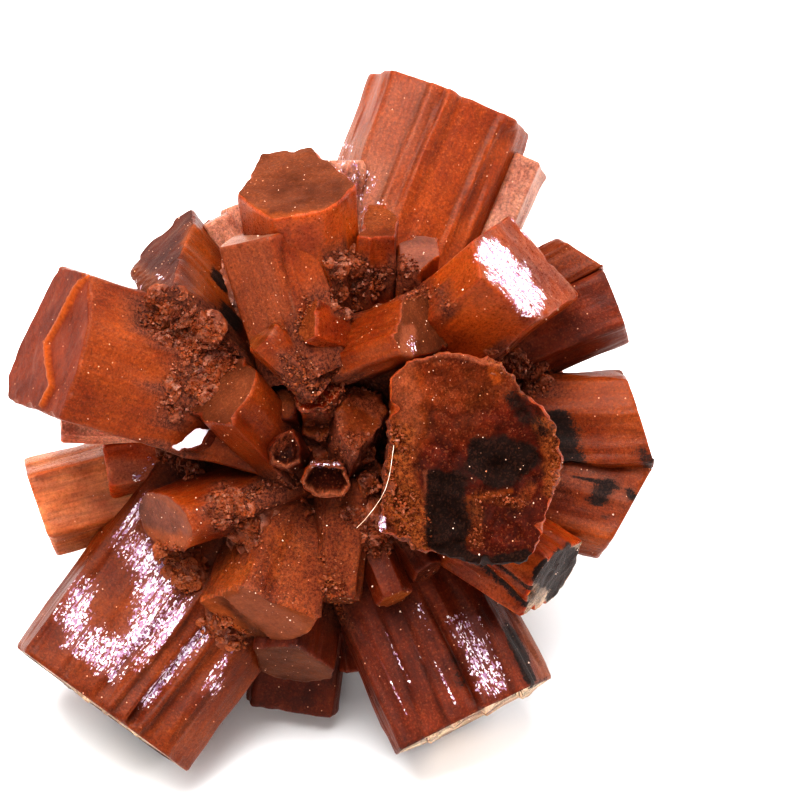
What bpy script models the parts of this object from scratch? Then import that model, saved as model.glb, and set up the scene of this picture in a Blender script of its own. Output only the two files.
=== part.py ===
"""A radiating cluster of aragonite crystals, grown together at one heart.

Lengths in the tables below are millimetres, measured from the heart in the
display frame: x to the right, y up and z towards the side the cluster is
shown from. The finished part is in metres, +Z up, standing on z = 0.
"""

import math
from typing import NamedTuple

import bmesh
import bpy
from mathutils import Matrix, Vector, noise

PART_NAME = "aragonite_cluster"
MM = 0.001

DISPLAY_LIFT = math.radians(50)       # how far the display side looks up
HEART = Vector((-0.11, -2.16, 24.4))      # the heart above the resting surface
CRUST_RELIEF = 0.3                    # how far a lump's surface goes in and out
CRUST_SPACING = 4.0                   # spacing of those ins and outs
FLOOR_DEPTH = 30.0                    # thickness of the block that trims the feet
FLOOR_SPREAD = 120.0

RUST_ORANGE = (0.36, 0.075, 0.03, 1.0)


class Crystal(NamedTuple):
    """A prism: the middle of its free end, that end's outline, and its root.

    The outline's corners are (across, toward) from the tip, across running to
    the right when the prism points up and toward running to the display side,
    or, where seen is set, the end's (x, y) corners as the display side sees
    them. The end is square to the prism unless facing gives its direction.
    """

    name: str
    tip: tuple
    outline: tuple
    seen: bool = False
    root: tuple = (0.0, 0.0, 0.0)
    taper: float = 0.75       # size at the root over size at the free end
    facing: tuple = None


def hexagon(across, deep, roll=0.0):
    """Corners of a six-sided end, as wide and as deep as given."""
    corners = []
    for step in range(6):
        angle = math.tau * step / 6 + math.radians(roll)
        corners.append((0.5 * across * math.cos(angle), 0.577 * deep * math.sin(angle)))
    return tuple(corners)


LARGE_CRYSTALS = (
    # the three that carry the front of the cluster
    Crystal("lower_left", (-22.9, -27.8, 3.0),
            ((10.7, -1.0), (9.8, 3.6), (-1.5, 5.6), (-8.0, 4.0), (-10.6, 0.5), (-8.0, -7.5), (2.0, -9.0),
             (9.5, -7.0)),
            root=(-1.7, 1.3, 0.0), taper=1.0),
    Crystal("lower_right", (14.1, -28.5, 3.0),
            ((8.8, -0.5), (7.8, 4.2), (-1.0, 5.6), (-6.6, 3.8), (-8.9, -1.0), (-6.5, -7.5), (4.0, -9.5)),
            taper=0.88),
    Crystal("lower_middle", (-4.1, -27.9, -6.0),
            ((4.8, -1.0), (4.2, 2.6), (-4.2, 2.6), (-4.8, -1.0), (-3.0, -5.0), (3.0, -5.0)), taper=0.85),
    # the ring of large ones, clockwise from there
    Crystal("lower_gap", (1.9, -24.0, -5.0), hexagon(4.4, 6.0, 15), root=(0.5, -8.0, -3.0), taper=1.0),
    Crystal("left_lower", (-29.3, -7.9, -3.0),
            ((5.4, -0.8), (3.6, 3.8), (-2.8, 4.4), (-5.2, 1.0), (-4.4, -4.2), (3.2, -4.8)),
            taper=0.95, facing=(-0.93, -0.33, 0.0)),
    Crystal("left_step", (-22.6, -3.6, 1.0), hexagon(8.0, 7.0), taper=0.9),
    Crystal("left_chip", (-26.9, 0.2, 4.5), hexagon(3.2, 3.0), root=(-12.0, 0.0, 3.0), taper=1.0),
    Crystal("big_left", (-28.0, 8.6, 11.7),
            ((-26.8, 16.4), (-24.2, 15.5), (-24.0, 10.5), (-25.4, 5.5), (-26.9, 1.0), (-32.1, 3.1),
             (-32.1, 5.5), (-30.8, 8.7)), seen=True, taper=0.9),
    Crystal("upper_left", (-16.6, 17.5, 8.0),
            ((-20.2, 15.5), (-19.2, 17.5), (-17.9, 19.0), (-16.6, 19.7), (-15.6, 21.2), (-13.8, 22.1),
             (-13.5, 20.5), (-14.4, 18.0), (-15.2, 14.0), (-16.7, 13.0), (-19.2, 14.0)), seen=True),
    Crystal("behind_left_bud", (-11.6, 21.0, 4.0), hexagon(3.6, 3.4, 15), root=(-7.0, 12.0, 3.0), taper=1.0),
    Crystal("behind_beige_bud", (-9.8, 22.4, 1.0), hexagon(3.2, 3.0), root=(-6.0, 12.0, 1.0), taper=1.0),
    Crystal("top_middle", (-3.2, 24.0, 16.0),
            ((-9.2, 23.0), (-8.0, 25.2), (-7.0, 27.3), (-4.7, 27.6), (-2.0, 27.9), (-0.7, 27.0), (2.5, 24.0),
             (0.8, 22.2), (-0.7, 21.2), (-5.7, 20.4), (-7.4, 21.5)), seen=True, taper=0.8),
    Crystal("big_top", (12.4, 32.4, -6.0),
            ((-9.5, 0.0), (-7.2, 6.0), (-1.0, 6.8), (6.0, 4.5), (8.1, 0.0), (6.0, -6.0), (-5.5, -6.5)),
            taper=0.95),
    Crystal("top_slab", (18.9, 26.7, -7.5), hexagon(5.0, 9.0), root=(7.0, -1.5, -2.0), taper=0.95),
    Crystal("top_druse", (1.6, 27.6, 2.0), hexagon(6.0, 5.0, 15), root=(1.0, 8.0, 1.0), taper=1.0),
    Crystal("right_upper", (19.0, 15.7, 14.0),
            ((13.7, 18.5), (17.6, 21.4), (24.6, 13.3), (20.3, 10.8), (16.8, 13.1), (14.6, 14.9)), seen=True,
            taper=0.85),
    Crystal("right_middle", (28.1, 12.8, 2.0),
            ((-4.4, 0.0), (-3.0, 4.0), (2.4, 4.6), (4.4, 1.0), (3.6, -5.0), (-2.4, -6.0)),
            root=(0.0, 1.0, 0.0), taper=0.9, facing=(0.93, 0.36, 0.05)),
    Crystal("right_middle_shoulder", (24.4, 17.9, 1.0),
            ((-2.0, 0.0), (-1.4, 3.6), (2.4, 4.0), (3.0, -4.0), (-1.2, -5.0)),
            root=(0.0, 4.5, 0.0), taper=1.0, facing=(0.55, 0.83, 0.05)),
    Crystal("right_low_above", (30.6, 0.8, 3.0),
            ((-5.3, -1.5), (-4.4, 2.6), (-1.0, 4.2), (3.0, 4.2), (4.3, 1.0), (4.0, -5.0), (-3.5, -6.0)),
            root=(0.0, 0.4, 0.0), taper=0.95, facing=(0.957, 0.29, 0.1)),
    Crystal("right_low_below", (29.0, -8.6, 1.5),
            ((-5.4, 0.0), (-4.6, 4.0), (2.6, 4.6), (4.9, 1.0), (4.2, -5.0), (-3.5, -6.0)),
            root=(0.0, -1.0, 0.0), taper=0.95, facing=(0.87, -0.49, 0.1)),
    Crystal("right_foot", (22.0, -14.4, 8.0),
            ((25.0, -10.8), (24.3, -13.4), (22.8, -15.9), (21.3, -17.3), (18.5, -18.7), (19.5, -15.4),
             (21.3, -12.3), (23.3, -11.2)), seen=True, taper=0.9),
    # large ones that point at the display side
    Crystal("front_right", (13.8, -2.4, 20.0),
            ((5.3, 4.5), (9.3, 7.8), (12.3, 7.8), (16.6, 6.8), (20.8, 2.8), (23.0, -2.8), (21.5, -8.0),
             (19.8, -11.5), (16.0, -13.0), (10.8, -12.0), (6.0, -10.0), (4.8, -5.0)), seen=True,
            root=(12.0, -2.5, 0.0), taper=0.8),
    Crystal("upper_middle", (-6.6, 19.1, 17.5),
            ((-4.7, -0.5), (0.6, 3.0), (4.8, 0.5), (3.5, -5.5), (-3.0, -5.5)),
            root=(-2.2, 5.5, 15.0), taper=1.0),
    Crystal("centre_left", (-10.9, 4.0, 16.0),
            ((-14.5, 3.2), (-13.2, 5.5), (-11.7, 7.2), (-8.7, 7.2), (-7.0, 5.8), (-7.7, 3.5), (-9.2, 1.8),
             (-9.4, 0.5), (-12.4, 0.8)), seen=True, root=(-2.5, -5.5, 4.0), taper=0.85),
    Crystal("left_low", (-16.3, -8.8, 12.0),
            ((-19.3, -7.5), (-18.2, -5.6), (-16.0, -6.2), (-14.0, -7.8), (-13.2, -10.0), (-14.2, -11.8),
             (-16.7, -11.8), (-18.6, -10.2)), seen=True, root=(0.0, -3.0, 2.0), taper=1.0),
    Crystal("middle_low", (-6.9, -18.2, 11.5),
            ((-13.4, -16.9), (-10.3, -15.8), (-8.2, -15.1), (-5.2, -16.8), (-1.3, -18.2), (-2.1, -20.0),
             (-5.2, -21.5), (-8.5, -20.2), (-11.7, -18.3)), seen=True, taper=0.85),
    Crystal("middle_low_right", (0.6, -16.6, 10.0),
            ((-2.4, 0.0), (-1.6, 2.2), (1.6, 2.2), (2.4, 0.0), (1.5, -4.0), (-1.5, -4.0)),
            root=(1.4, -5.0, 8.5), taper=1.3),
    Crystal("lower_shelf", (-3.7, -23.3, 5.5),
            ((-7.7, -21.5), (-3.4, -21.0), (0.2, -23.8), (0.1, -24.8), (-2.6, -25.3), (-5.7, -24.8),
             (-7.4, -24.0)), seen=True, root=(0.0, 0.0, -5.0), taper=0.85),
)

SMALL_CRYSTALS = (
    Crystal("small_low", (6.3, -16.6, 9.0), hexagon(4.2, 3.5), root=(2.0, -6.0, 5.0), taper=1.0),
    Crystal("small_low_dark", (9.6, -14.0, 9.0), hexagon(3.8, 3.5), root=(4.0, -6.0, 5.0), taper=1.0),
    Crystal("bud_top", (4.9, 19.1, 13.0),
            ((3.6, 20.8), (5.3, 20.9), (6.8, 19.8), (6.5, 18.7), (5.3, 17.2), (3.0, 17.2), (3.4, 19.0)),
            seen=True, root=(4.0, 8.0, 5.0), taper=1.0),
    Crystal("bud_top_right", (9.2, 18.1, 12.0), ((7.1, 19.5), (10.8, 19.2), (10.5, 16.8), (8.4, 16.7)),
            seen=True, root=(7.0, 8.0, 5.0), taper=1.0),
    Crystal("bud_upper", (-2.1, 10.7, 19.0),
            ((-3.0, 11.2), (-2.0, 12.3), (-1.3, 12.8), (-1.2, 11.0), (-1.3, 9.2), (-2.5, 8.5), (-3.1, 9.5)),
            seen=True, root=(2.5, 9.0, 13.0), taper=1.0),
    Crystal("bud_left", (-6.7, 9.2, 17.5),
            ((-2.1, 0.0), (-1.6, 1.6), (0.2, 2.0), (1.9, 0.8), (1.9, -1.8), (-1.0, -2.4)),
            root=(-1.2, 4.2, 15.0), taper=1.0),
    Crystal("bar", (9.0, 10.4, 17.5),
            ((7.0, 13.0), (8.8, 13.8), (11.3, 13.2), (12.3, 10.5), (11.3, 8.0), (8.0, 7.0), (6.7, 7.6),
             (6.1, 9.3), (6.6, 10.8)), seen=True, root=(1.0, 7.5, 10.5), taper=1.0),
    Crystal("vee", (2.9, 1.6, 14.0),
            ((0.8, 4.2), (3.0, 4.6), (5.3, 3.4), (5.8, 1.8), (4.6, 0.3), (2.5, -2.3), (0.9, -0.6),
             (0.6, 1.8)), seen=True, root=(1.0, -4.0, 5.0), taper=1.0),
    Crystal("dark_hexagon", (-4.5, -1.9, 12.0),
            ((-6.4, -2.0), (-5.7, -0.4), (-3.6, 0.2), (-2.8, -1.5), (-2.9, -3.2), (-4.2, -3.8), (-5.9, -3.3)),
            seen=True, root=(-3.0, -3.0, 4.0), taper=1.0),
    Crystal("hollow_hexagon", (-0.3, -4.9, 14.5),
            ((-2.9, -5.0), (-2.4, -3.7), (-1.4, -3.2), (0.8, -3.4), (2.0, -4.6), (2.3, -5.4), (1.3, -6.6),
             (-1.6, -6.5), (-2.6, -5.7)), seen=True, root=(-0.3, -4.0, 8.0), taper=0.9),
    Crystal("bud_dark", (-4.5, 2.5, 12.0), ((-5.5, 4.0), (-3.4, 3.8), (-3.4, 1.2), (-5.1, 0.9), (-5.6, 2.5)),
            seen=True, root=(-3.0, 0.0, 5.0), taper=1.0),
    Crystal("bud_right", (3.8, -5.4, 12.0), ((2.5, -4.8), (4.6, -4.6), (5.0, -5.7), (3.0, -6.7)),
            seen=True, root=(2.5, -3.0, 5.0), taper=1.0),
    Crystal("bud_flat", (-1.3, 1.2, 11.5), ((-3.0, 2.8), (0.3, 3.2), (0.6, 1.0), (-0.7, -1.0), (-2.9, -0.5)),
            seen=True, root=(-0.5, -1.0, 4.0), taper=1.0),
    Crystal("bud_orange", (-1.2, 4.4, 12.8), ((-3.2, 4.5), (-1.2, 5.8), (0.8, 5.2), (0.6, 3.5), (-3.0, 3.2)),
            seen=True, root=(-0.5, 0.0, 5.0), taper=1.0),
)

# the sides that the display side hides: the feet first, then the rest
BACK_CRYSTALS = (
    Crystal("foot", (1.0, -16.13, -19.23), hexagon(9.0, 8.0), root=(1.0, 0.0, 0.0), taper=0.8),
    Crystal("back_foot_left", (-11.2, -5.6, -24.2), hexagon(11.0, 9.0)),
    Crystal("back_foot_right", (11.3, -3.8, -25.4), hexagon(11.0, 10.0)),
    Crystal("back_top", (6.0, 19.0, -20.0), hexagon(14.0, 12.0)),
    Crystal("back_left", (-19.0, 4.0, -21.0), hexagon(13.0, 11.0)),
    Crystal("back_upper_left", (-13.0, 17.0, -18.0), hexagon(12.0, 11.0)),
    Crystal("back_right", (19.5, 6.5, -19.0), hexagon(11.0, 11.0)),
    Crystal("back_middle", (-1.0, 7.0, -29.0), hexagon(15.0, 13.0)),
    Crystal("back_low_right", (19.0, -8.0, -17.0), hexagon(10.0, 9.0)),
    Crystal("back_low_left", (-17.0, -14.0, -16.0), hexagon(10.0, 9.0)),
    Crystal("back_mid_right", (11.5, 10.5, -25.0), hexagon(8.5, 8.0, 10)),
    Crystal("back_mid_left", (-10.0, 12.0, -25.0), hexagon(8.5, 8.0, 20)),
    Crystal("back_low_middle", (1.5, -5.5, -23.5), hexagon(8.0, 8.0)),
    Crystal("back_crown", (-3.5, 22.5, -12.0), hexagon(8.0, 8.0, 15)),
    Crystal("back_crown_left", (-13.2, 17.2, -6.5), hexagon(8.0, 7.0, 10)),
    Crystal("back_shoulder", (21.5, 14.3, -9.0), hexagon(8.0, 7.5, 20)),
    Crystal("back_top_right", (15.0, 20.5, -15.0), hexagon(8.0, 7.0)),
    Crystal("back_side_right", (25.0, -1.0, -10.0), hexagon(8.0, 7.0, 25)),
    Crystal("back_side_left", (-24.0, -6.5, -12.0), hexagon(7.0, 6.5)),
    Crystal("back_upper_side", (-23.0, 9.0, -7.0), hexagon(9.0, 8.0, 10)),
    Crystal("back_under_left", (-7.5, -14.5, -15.0), hexagon(7.0, 6.0)),
    Crystal("back_under_right", (11.0, -15.0, -14.0), hexagon(7.0, 7.0, 15)),
)

# lumps of fine crust in the clefts: middle and radius
CRUST_LUMPS = (
    ((0.0, 0.0, 0.0), 9.0),
    ((-12.0, 8.0, 4.0), 6.5),
    ((-9.5, 12.5, 4.0), 5.0),
    ((3.0, 12.5, 7.5), 4.5),
    ((-14.0, -13.5, 5.0), 3.6),
    ((-10.8, -19.0, 4.5), 3.2),
    ((-8.0, -7.5, 7.0), 4.0),
    ((3.5, -9.0, 8.0), 3.2),
    ((14.0, 4.0, 6.0), 3.5),
    ((0.0, 3.0, -8.0), 8.5),
    ((-8.5, -2.0, -7.0), 5.5),
    ((8.5, 1.0, -8.0), 5.5),
)


def to_row():
    """The turn from the display frame to the upright one, about the x axis."""
    return Matrix.Rotation(math.pi / 2 - DISPLAY_LIFT, 3, "X")


def end_corners(crystal):
    """Corners of the free end, in the display frame."""
    tip = Vector(crystal.tip)
    axis = (tip - Vector(crystal.root)).normalized()
    facing = Vector(crystal.facing or axis)
    across = axis.cross(Vector((0.0, 0.0, 1.0))).normalized()
    toward = across.cross(axis)
    corners = []
    for first, second in crystal.outline:
        if crystal.seen:
            offset = Vector((first - tip.x, second - tip.y, 0.0))
            slide = Vector((0.0, 0.0, 1.0))
        else:
            offset = across * first + toward * second
            slide = axis
        corners.append(tip + offset - slide * (offset.dot(facing) / slide.dot(facing)))
    return corners


def crystal_mesh(crystal):
    """A closed prism: its end outline drawn back to a smaller root section."""
    corners = end_corners(crystal)
    middle = sum(corners, Vector()) / len(corners)
    shift = Vector(crystal.root) - Vector(crystal.tip)
    bm = bmesh.new()
    end = bm.faces.new([bm.verts.new(point) for point in corners])
    grown = bmesh.ops.extrude_face_region(bm, geom=[end])["geom"]
    root_corners = [item for item in grown if isinstance(item, bmesh.types.BMVert)]
    for corner in root_corners:
        corner.co = middle + shift + (corner.co - middle) * crystal.taper
    bmesh.ops.recalc_face_normals(bm, faces=bm.faces)
    return bm


def crust_mesh(middle, radius):
    """A lump of crust: a ball whose surface goes unevenly in and out."""
    bm = bmesh.new()
    bmesh.ops.create_icosphere(bm, subdivisions=2, radius=radius)
    for vertex in bm.verts:
        outward = vertex.co.normalized()
        vertex.co += Vector(middle)
        vertex.co += outward * CRUST_RELIEF * radius * noise.noise(vertex.co / CRUST_SPACING)
    return bm


def add_object(name, bm, collection):
    """Turn a display-frame mesh upright, in metres, and put it in a collection."""
    for vertex in bm.verts:
        vertex.co = (to_row() @ vertex.co + HEART) * MM
    mesh = bpy.data.meshes.new(name)
    bm.to_mesh(mesh)
    bm.free()
    obj = bpy.data.objects.new(name, mesh)
    collection.objects.link(obj)
    return obj


def new_collection(name):
    collection = bpy.data.collections.new(name)
    bpy.context.scene.collection.children.link(collection)
    return collection


def hide_helper(obj):
    """Mark an object as one that only shapes another."""
    obj.hide_render = True
    obj.display_type = "WIRE"


def add_floor_block(collection):
    """The block below z = 0 that trims every foot flat."""
    bm = bmesh.new()
    bmesh.ops.create_cube(bm, size=1.0)
    scale = Vector((FLOOR_SPREAD, FLOOR_SPREAD, FLOOR_DEPTH)) * MM
    for vertex in bm.verts:
        vertex.co = vertex.co * scale - Vector((0.0, 0.0, 0.5 * FLOOR_DEPTH * MM))
    mesh = bpy.data.meshes.new("floor_block")
    bm.to_mesh(mesh)
    bm.free()
    block = bpy.data.objects.new("floor_block", mesh)
    collection.objects.link(block)
    hide_helper(block)
    return block


def aragonite_material():
    """Rust-orange aragonite, glassy on its faces."""
    material = bpy.data.materials.new("aragonite")
    material.use_nodes = True
    shader = material.node_tree.nodes["Principled BSDF"]
    shader.inputs["Base Color"].default_value = RUST_ORANGE
    shader.inputs["Roughness"].default_value = 0.35
    shader.inputs["Metallic"].default_value = 0.0
    return material


def add_boolean(obj, name, operation):
    modifier = obj.modifiers.new(name, "BOOLEAN")
    modifier.operation = operation
    modifier.solver = "EXACT"
    return modifier


def build():
    for obj in list(bpy.data.objects):
        bpy.data.objects.remove(obj)
    part = new_collection(PART_NAME)
    crystals = new_collection("crystal_prisms")
    helpers = new_collection("helpers")

    for crystal in LARGE_CRYSTALS + SMALL_CRYSTALS + BACK_CRYSTALS:
        hide_helper(add_object(crystal.name, crystal_mesh(crystal), crystals))
    for place, (middle, radius) in enumerate(CRUST_LUMPS[1:]):
        hide_helper(add_object(f"crust_{place}", crust_mesh(middle, radius), crystals))
    block = add_floor_block(helpers)

    cluster = add_object(PART_NAME, crust_mesh(*CRUST_LUMPS[0]), part)
    cluster.data.materials.append(aragonite_material())
    grow = add_boolean(cluster, "grow together", "UNION")
    grow.operand_type = "COLLECTION"
    grow.collection = crystals
    trim = add_boolean(cluster, "trim feet", "DIFFERENCE")
    trim.object = block


build()
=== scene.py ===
"""Looks of a radiating aragonite cluster: its grown prisms, crust, dust and a plain studio.

Lengths in the tables are millimetres, measured from the heart of the cluster in
the display frame: x to the right, y up and z towards the side it is shown from.
The meshes are in metres, +Z up, in the frame's own axes.
"""

import math
import random
from functools import partial
from typing import NamedTuple

import bmesh
import bpy
import numpy as np
from bpy.props import FloatProperty, FloatVectorProperty, IntProperty, PointerProperty
from mathutils import Matrix, Vector, noise
from mathutils.bvhtree import BVHTree
from mathutils.geometry import delaunay_2d_cdt


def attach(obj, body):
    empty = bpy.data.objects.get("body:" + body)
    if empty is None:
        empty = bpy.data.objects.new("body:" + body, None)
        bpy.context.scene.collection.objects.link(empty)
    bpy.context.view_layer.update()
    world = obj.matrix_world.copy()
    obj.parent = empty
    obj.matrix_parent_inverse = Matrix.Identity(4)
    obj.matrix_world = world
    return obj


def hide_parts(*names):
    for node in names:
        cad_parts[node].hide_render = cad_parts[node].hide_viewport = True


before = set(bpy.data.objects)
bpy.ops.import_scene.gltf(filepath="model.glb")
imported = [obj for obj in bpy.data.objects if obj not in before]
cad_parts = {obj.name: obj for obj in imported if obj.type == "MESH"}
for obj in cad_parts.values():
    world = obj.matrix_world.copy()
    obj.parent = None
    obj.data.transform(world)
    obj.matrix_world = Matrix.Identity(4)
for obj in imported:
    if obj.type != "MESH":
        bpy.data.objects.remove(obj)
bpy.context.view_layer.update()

bl_info = {
    "name": "Aragonite Cluster",
    "version": (1, 0, 0),
    "blender": (4, 5, 0),
    "location": "3D View > Sidebar > Aragonite",
    "description": "Builds a radiating cluster of aragonite prisms with its crust and a plain stage",
    "category": "Add Mesh",
}

NODE = "aragonite_cluster"
BODY = "root"
MM = 0.001

DISPLAY_LIFT = math.radians(50)       # how far the display side looks up
HEART = Vector((-0.11, -2.16, 24.4))  # the heart above the resting surface
TO_ROW = Matrix.Rotation(math.pi / 2 - DISPLAY_LIFT, 3, "X")


def linear(hex_colour):
    """An sRGB hex colour as linear red, green, blue and alpha."""
    channels = []
    for place in (0, 2, 4):
        value = int(hex_colour[place:place + 2], 16) / 255
        channels.append(value / 12.92 if value <= 0.04045 else ((value + 0.055) / 1.055) ** 2.4)
    return (*channels, 1.0)


# ---------------------------------------------------------------- settings

class ClusterSettings(bpy.types.PropertyGroup):
    """Sizes and colours of the mineral itself."""

    across_step: FloatProperty(
        name="Step Across", description="Mesh spacing across a prism face",
        default=0.00032, min=0.0001, unit="LENGTH")
    along_step: FloatProperty(
        name="Step Along", description="Mesh spacing along a prism",
        default=0.0008, min=0.0002, unit="LENGTH")
    end_step: FloatProperty(
        name="Step on Ends", description="Mesh spacing on the free end of a prism",
        default=0.00028, min=0.0001, unit="LENGTH")
    edge_round: FloatProperty(
        name="Edge Rounding", description="Radius of the worn edges of a large prism",
        default=0.00035, min=0.0, unit="LENGTH")
    grain_size: FloatProperty(
        name="Crust Grain", description="Size of the largest grains of crust in the clefts",
        default=0.0008, min=0.0002, unit="LENGTH")
    grain_count: IntProperty(
        name="Crust Grains", description="How many grains are tried over the whole cluster",
        default=9000, min=0)
    heap_density: FloatProperty(
        name="Heap Density", description="Grains per square millimetre of the crust heaps",
        default=15.0, min=0.0)
    dust_count: IntProperty(
        name="Dust Specks", description="How many pale specks are tried over the whole cluster",
        default=1300, min=0)
    # partly painted glow: the clear orange painted where light shines through thin places
    glow_colour: FloatVectorProperty(
        name="Clear Orange", description="The orange of thin, clear places",
        subtype="COLOR", size=4, min=0.0, max=1.0, default=linear("B0591E"))
    frost_colour: FloatVectorProperty(
        name="Frosting", description="The dull pink-brown of frosted places",
        subtype="COLOR", size=4, min=0.0, max=1.0, default=linear("7A4630"))
    oxide_colour: FloatVectorProperty(
        name="Oxide Coat", description="The brown-black of the manganese oxide coats",
        subtype="COLOR", size=4, min=0.0, max=1.0, default=linear("1E100B"))
    # painted reflection: the lilac white painted on mirror flecks where growth facets mirror a light
    glint_colour: FloatVectorProperty(
        name="Mirror Flecks", description="The lilac white of mirror-bright growth facets",
        subtype="COLOR", size=4, min=0.0, max=1.0, default=linear("F2E6EE"))


class StageSettings(bpy.types.PropertyGroup):
    """Floor, lights and camera of the plain studio."""

    floor_colour: FloatVectorProperty(
        name="Floor", description="Colour of the matt floor",
        subtype="COLOR", size=4, min=0.0, max=1.0, default=linear("FAFAFA"))
    floor_width: FloatProperty(
        name="Floor Width", description="Width of the floor", default=6.0, min=0.5, unit="LENGTH")
    sky_strength: FloatProperty(
        name="Room Light", description="Brightness of the even light of the room", default=0.5, min=0.0)
    light_power: FloatProperty(
        name="Studio Lights", description="Power of the strongest studio light",
        default=14.0, min=0.0, unit="POWER")
    lens: FloatProperty(
        name="Lens", description="Focal length in millimetres", default=300.0, min=10.0)
    field_width: FloatProperty(
        name="Field", description="Width of the view at the heart",
        default=0.08, min=0.01, unit="LENGTH")


# ------------------------------------------------------- how the prisms grew

class Crystal(NamedTuple):
    """A prism: the middle of its free end, that end's outline, and its root.

    The outline's corners are (across, toward) from the tip, across running to
    the right when the prism points up and toward running to the display side,
    or, where seen is set, the end's (x, y) corners as the display side sees
    them. The end is square to the prism unless facing gives its direction.
    """

    name: str
    tip: tuple
    outline: tuple
    seen: bool = False
    root: tuple = (0.0, 0.0, 0.0)
    taper: float = 0.75       # size at the root over size at the free end
    facing: tuple = None


def hexagon(across, deep, roll=0.0):
    """Corners of a six-sided end, as wide and as deep as given."""
    corners = []
    for step in range(6):
        angle = math.tau * step / 6 + math.radians(roll)
        corners.append((0.5 * across * math.cos(angle), 0.577 * deep * math.sin(angle)))
    return tuple(corners)


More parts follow.
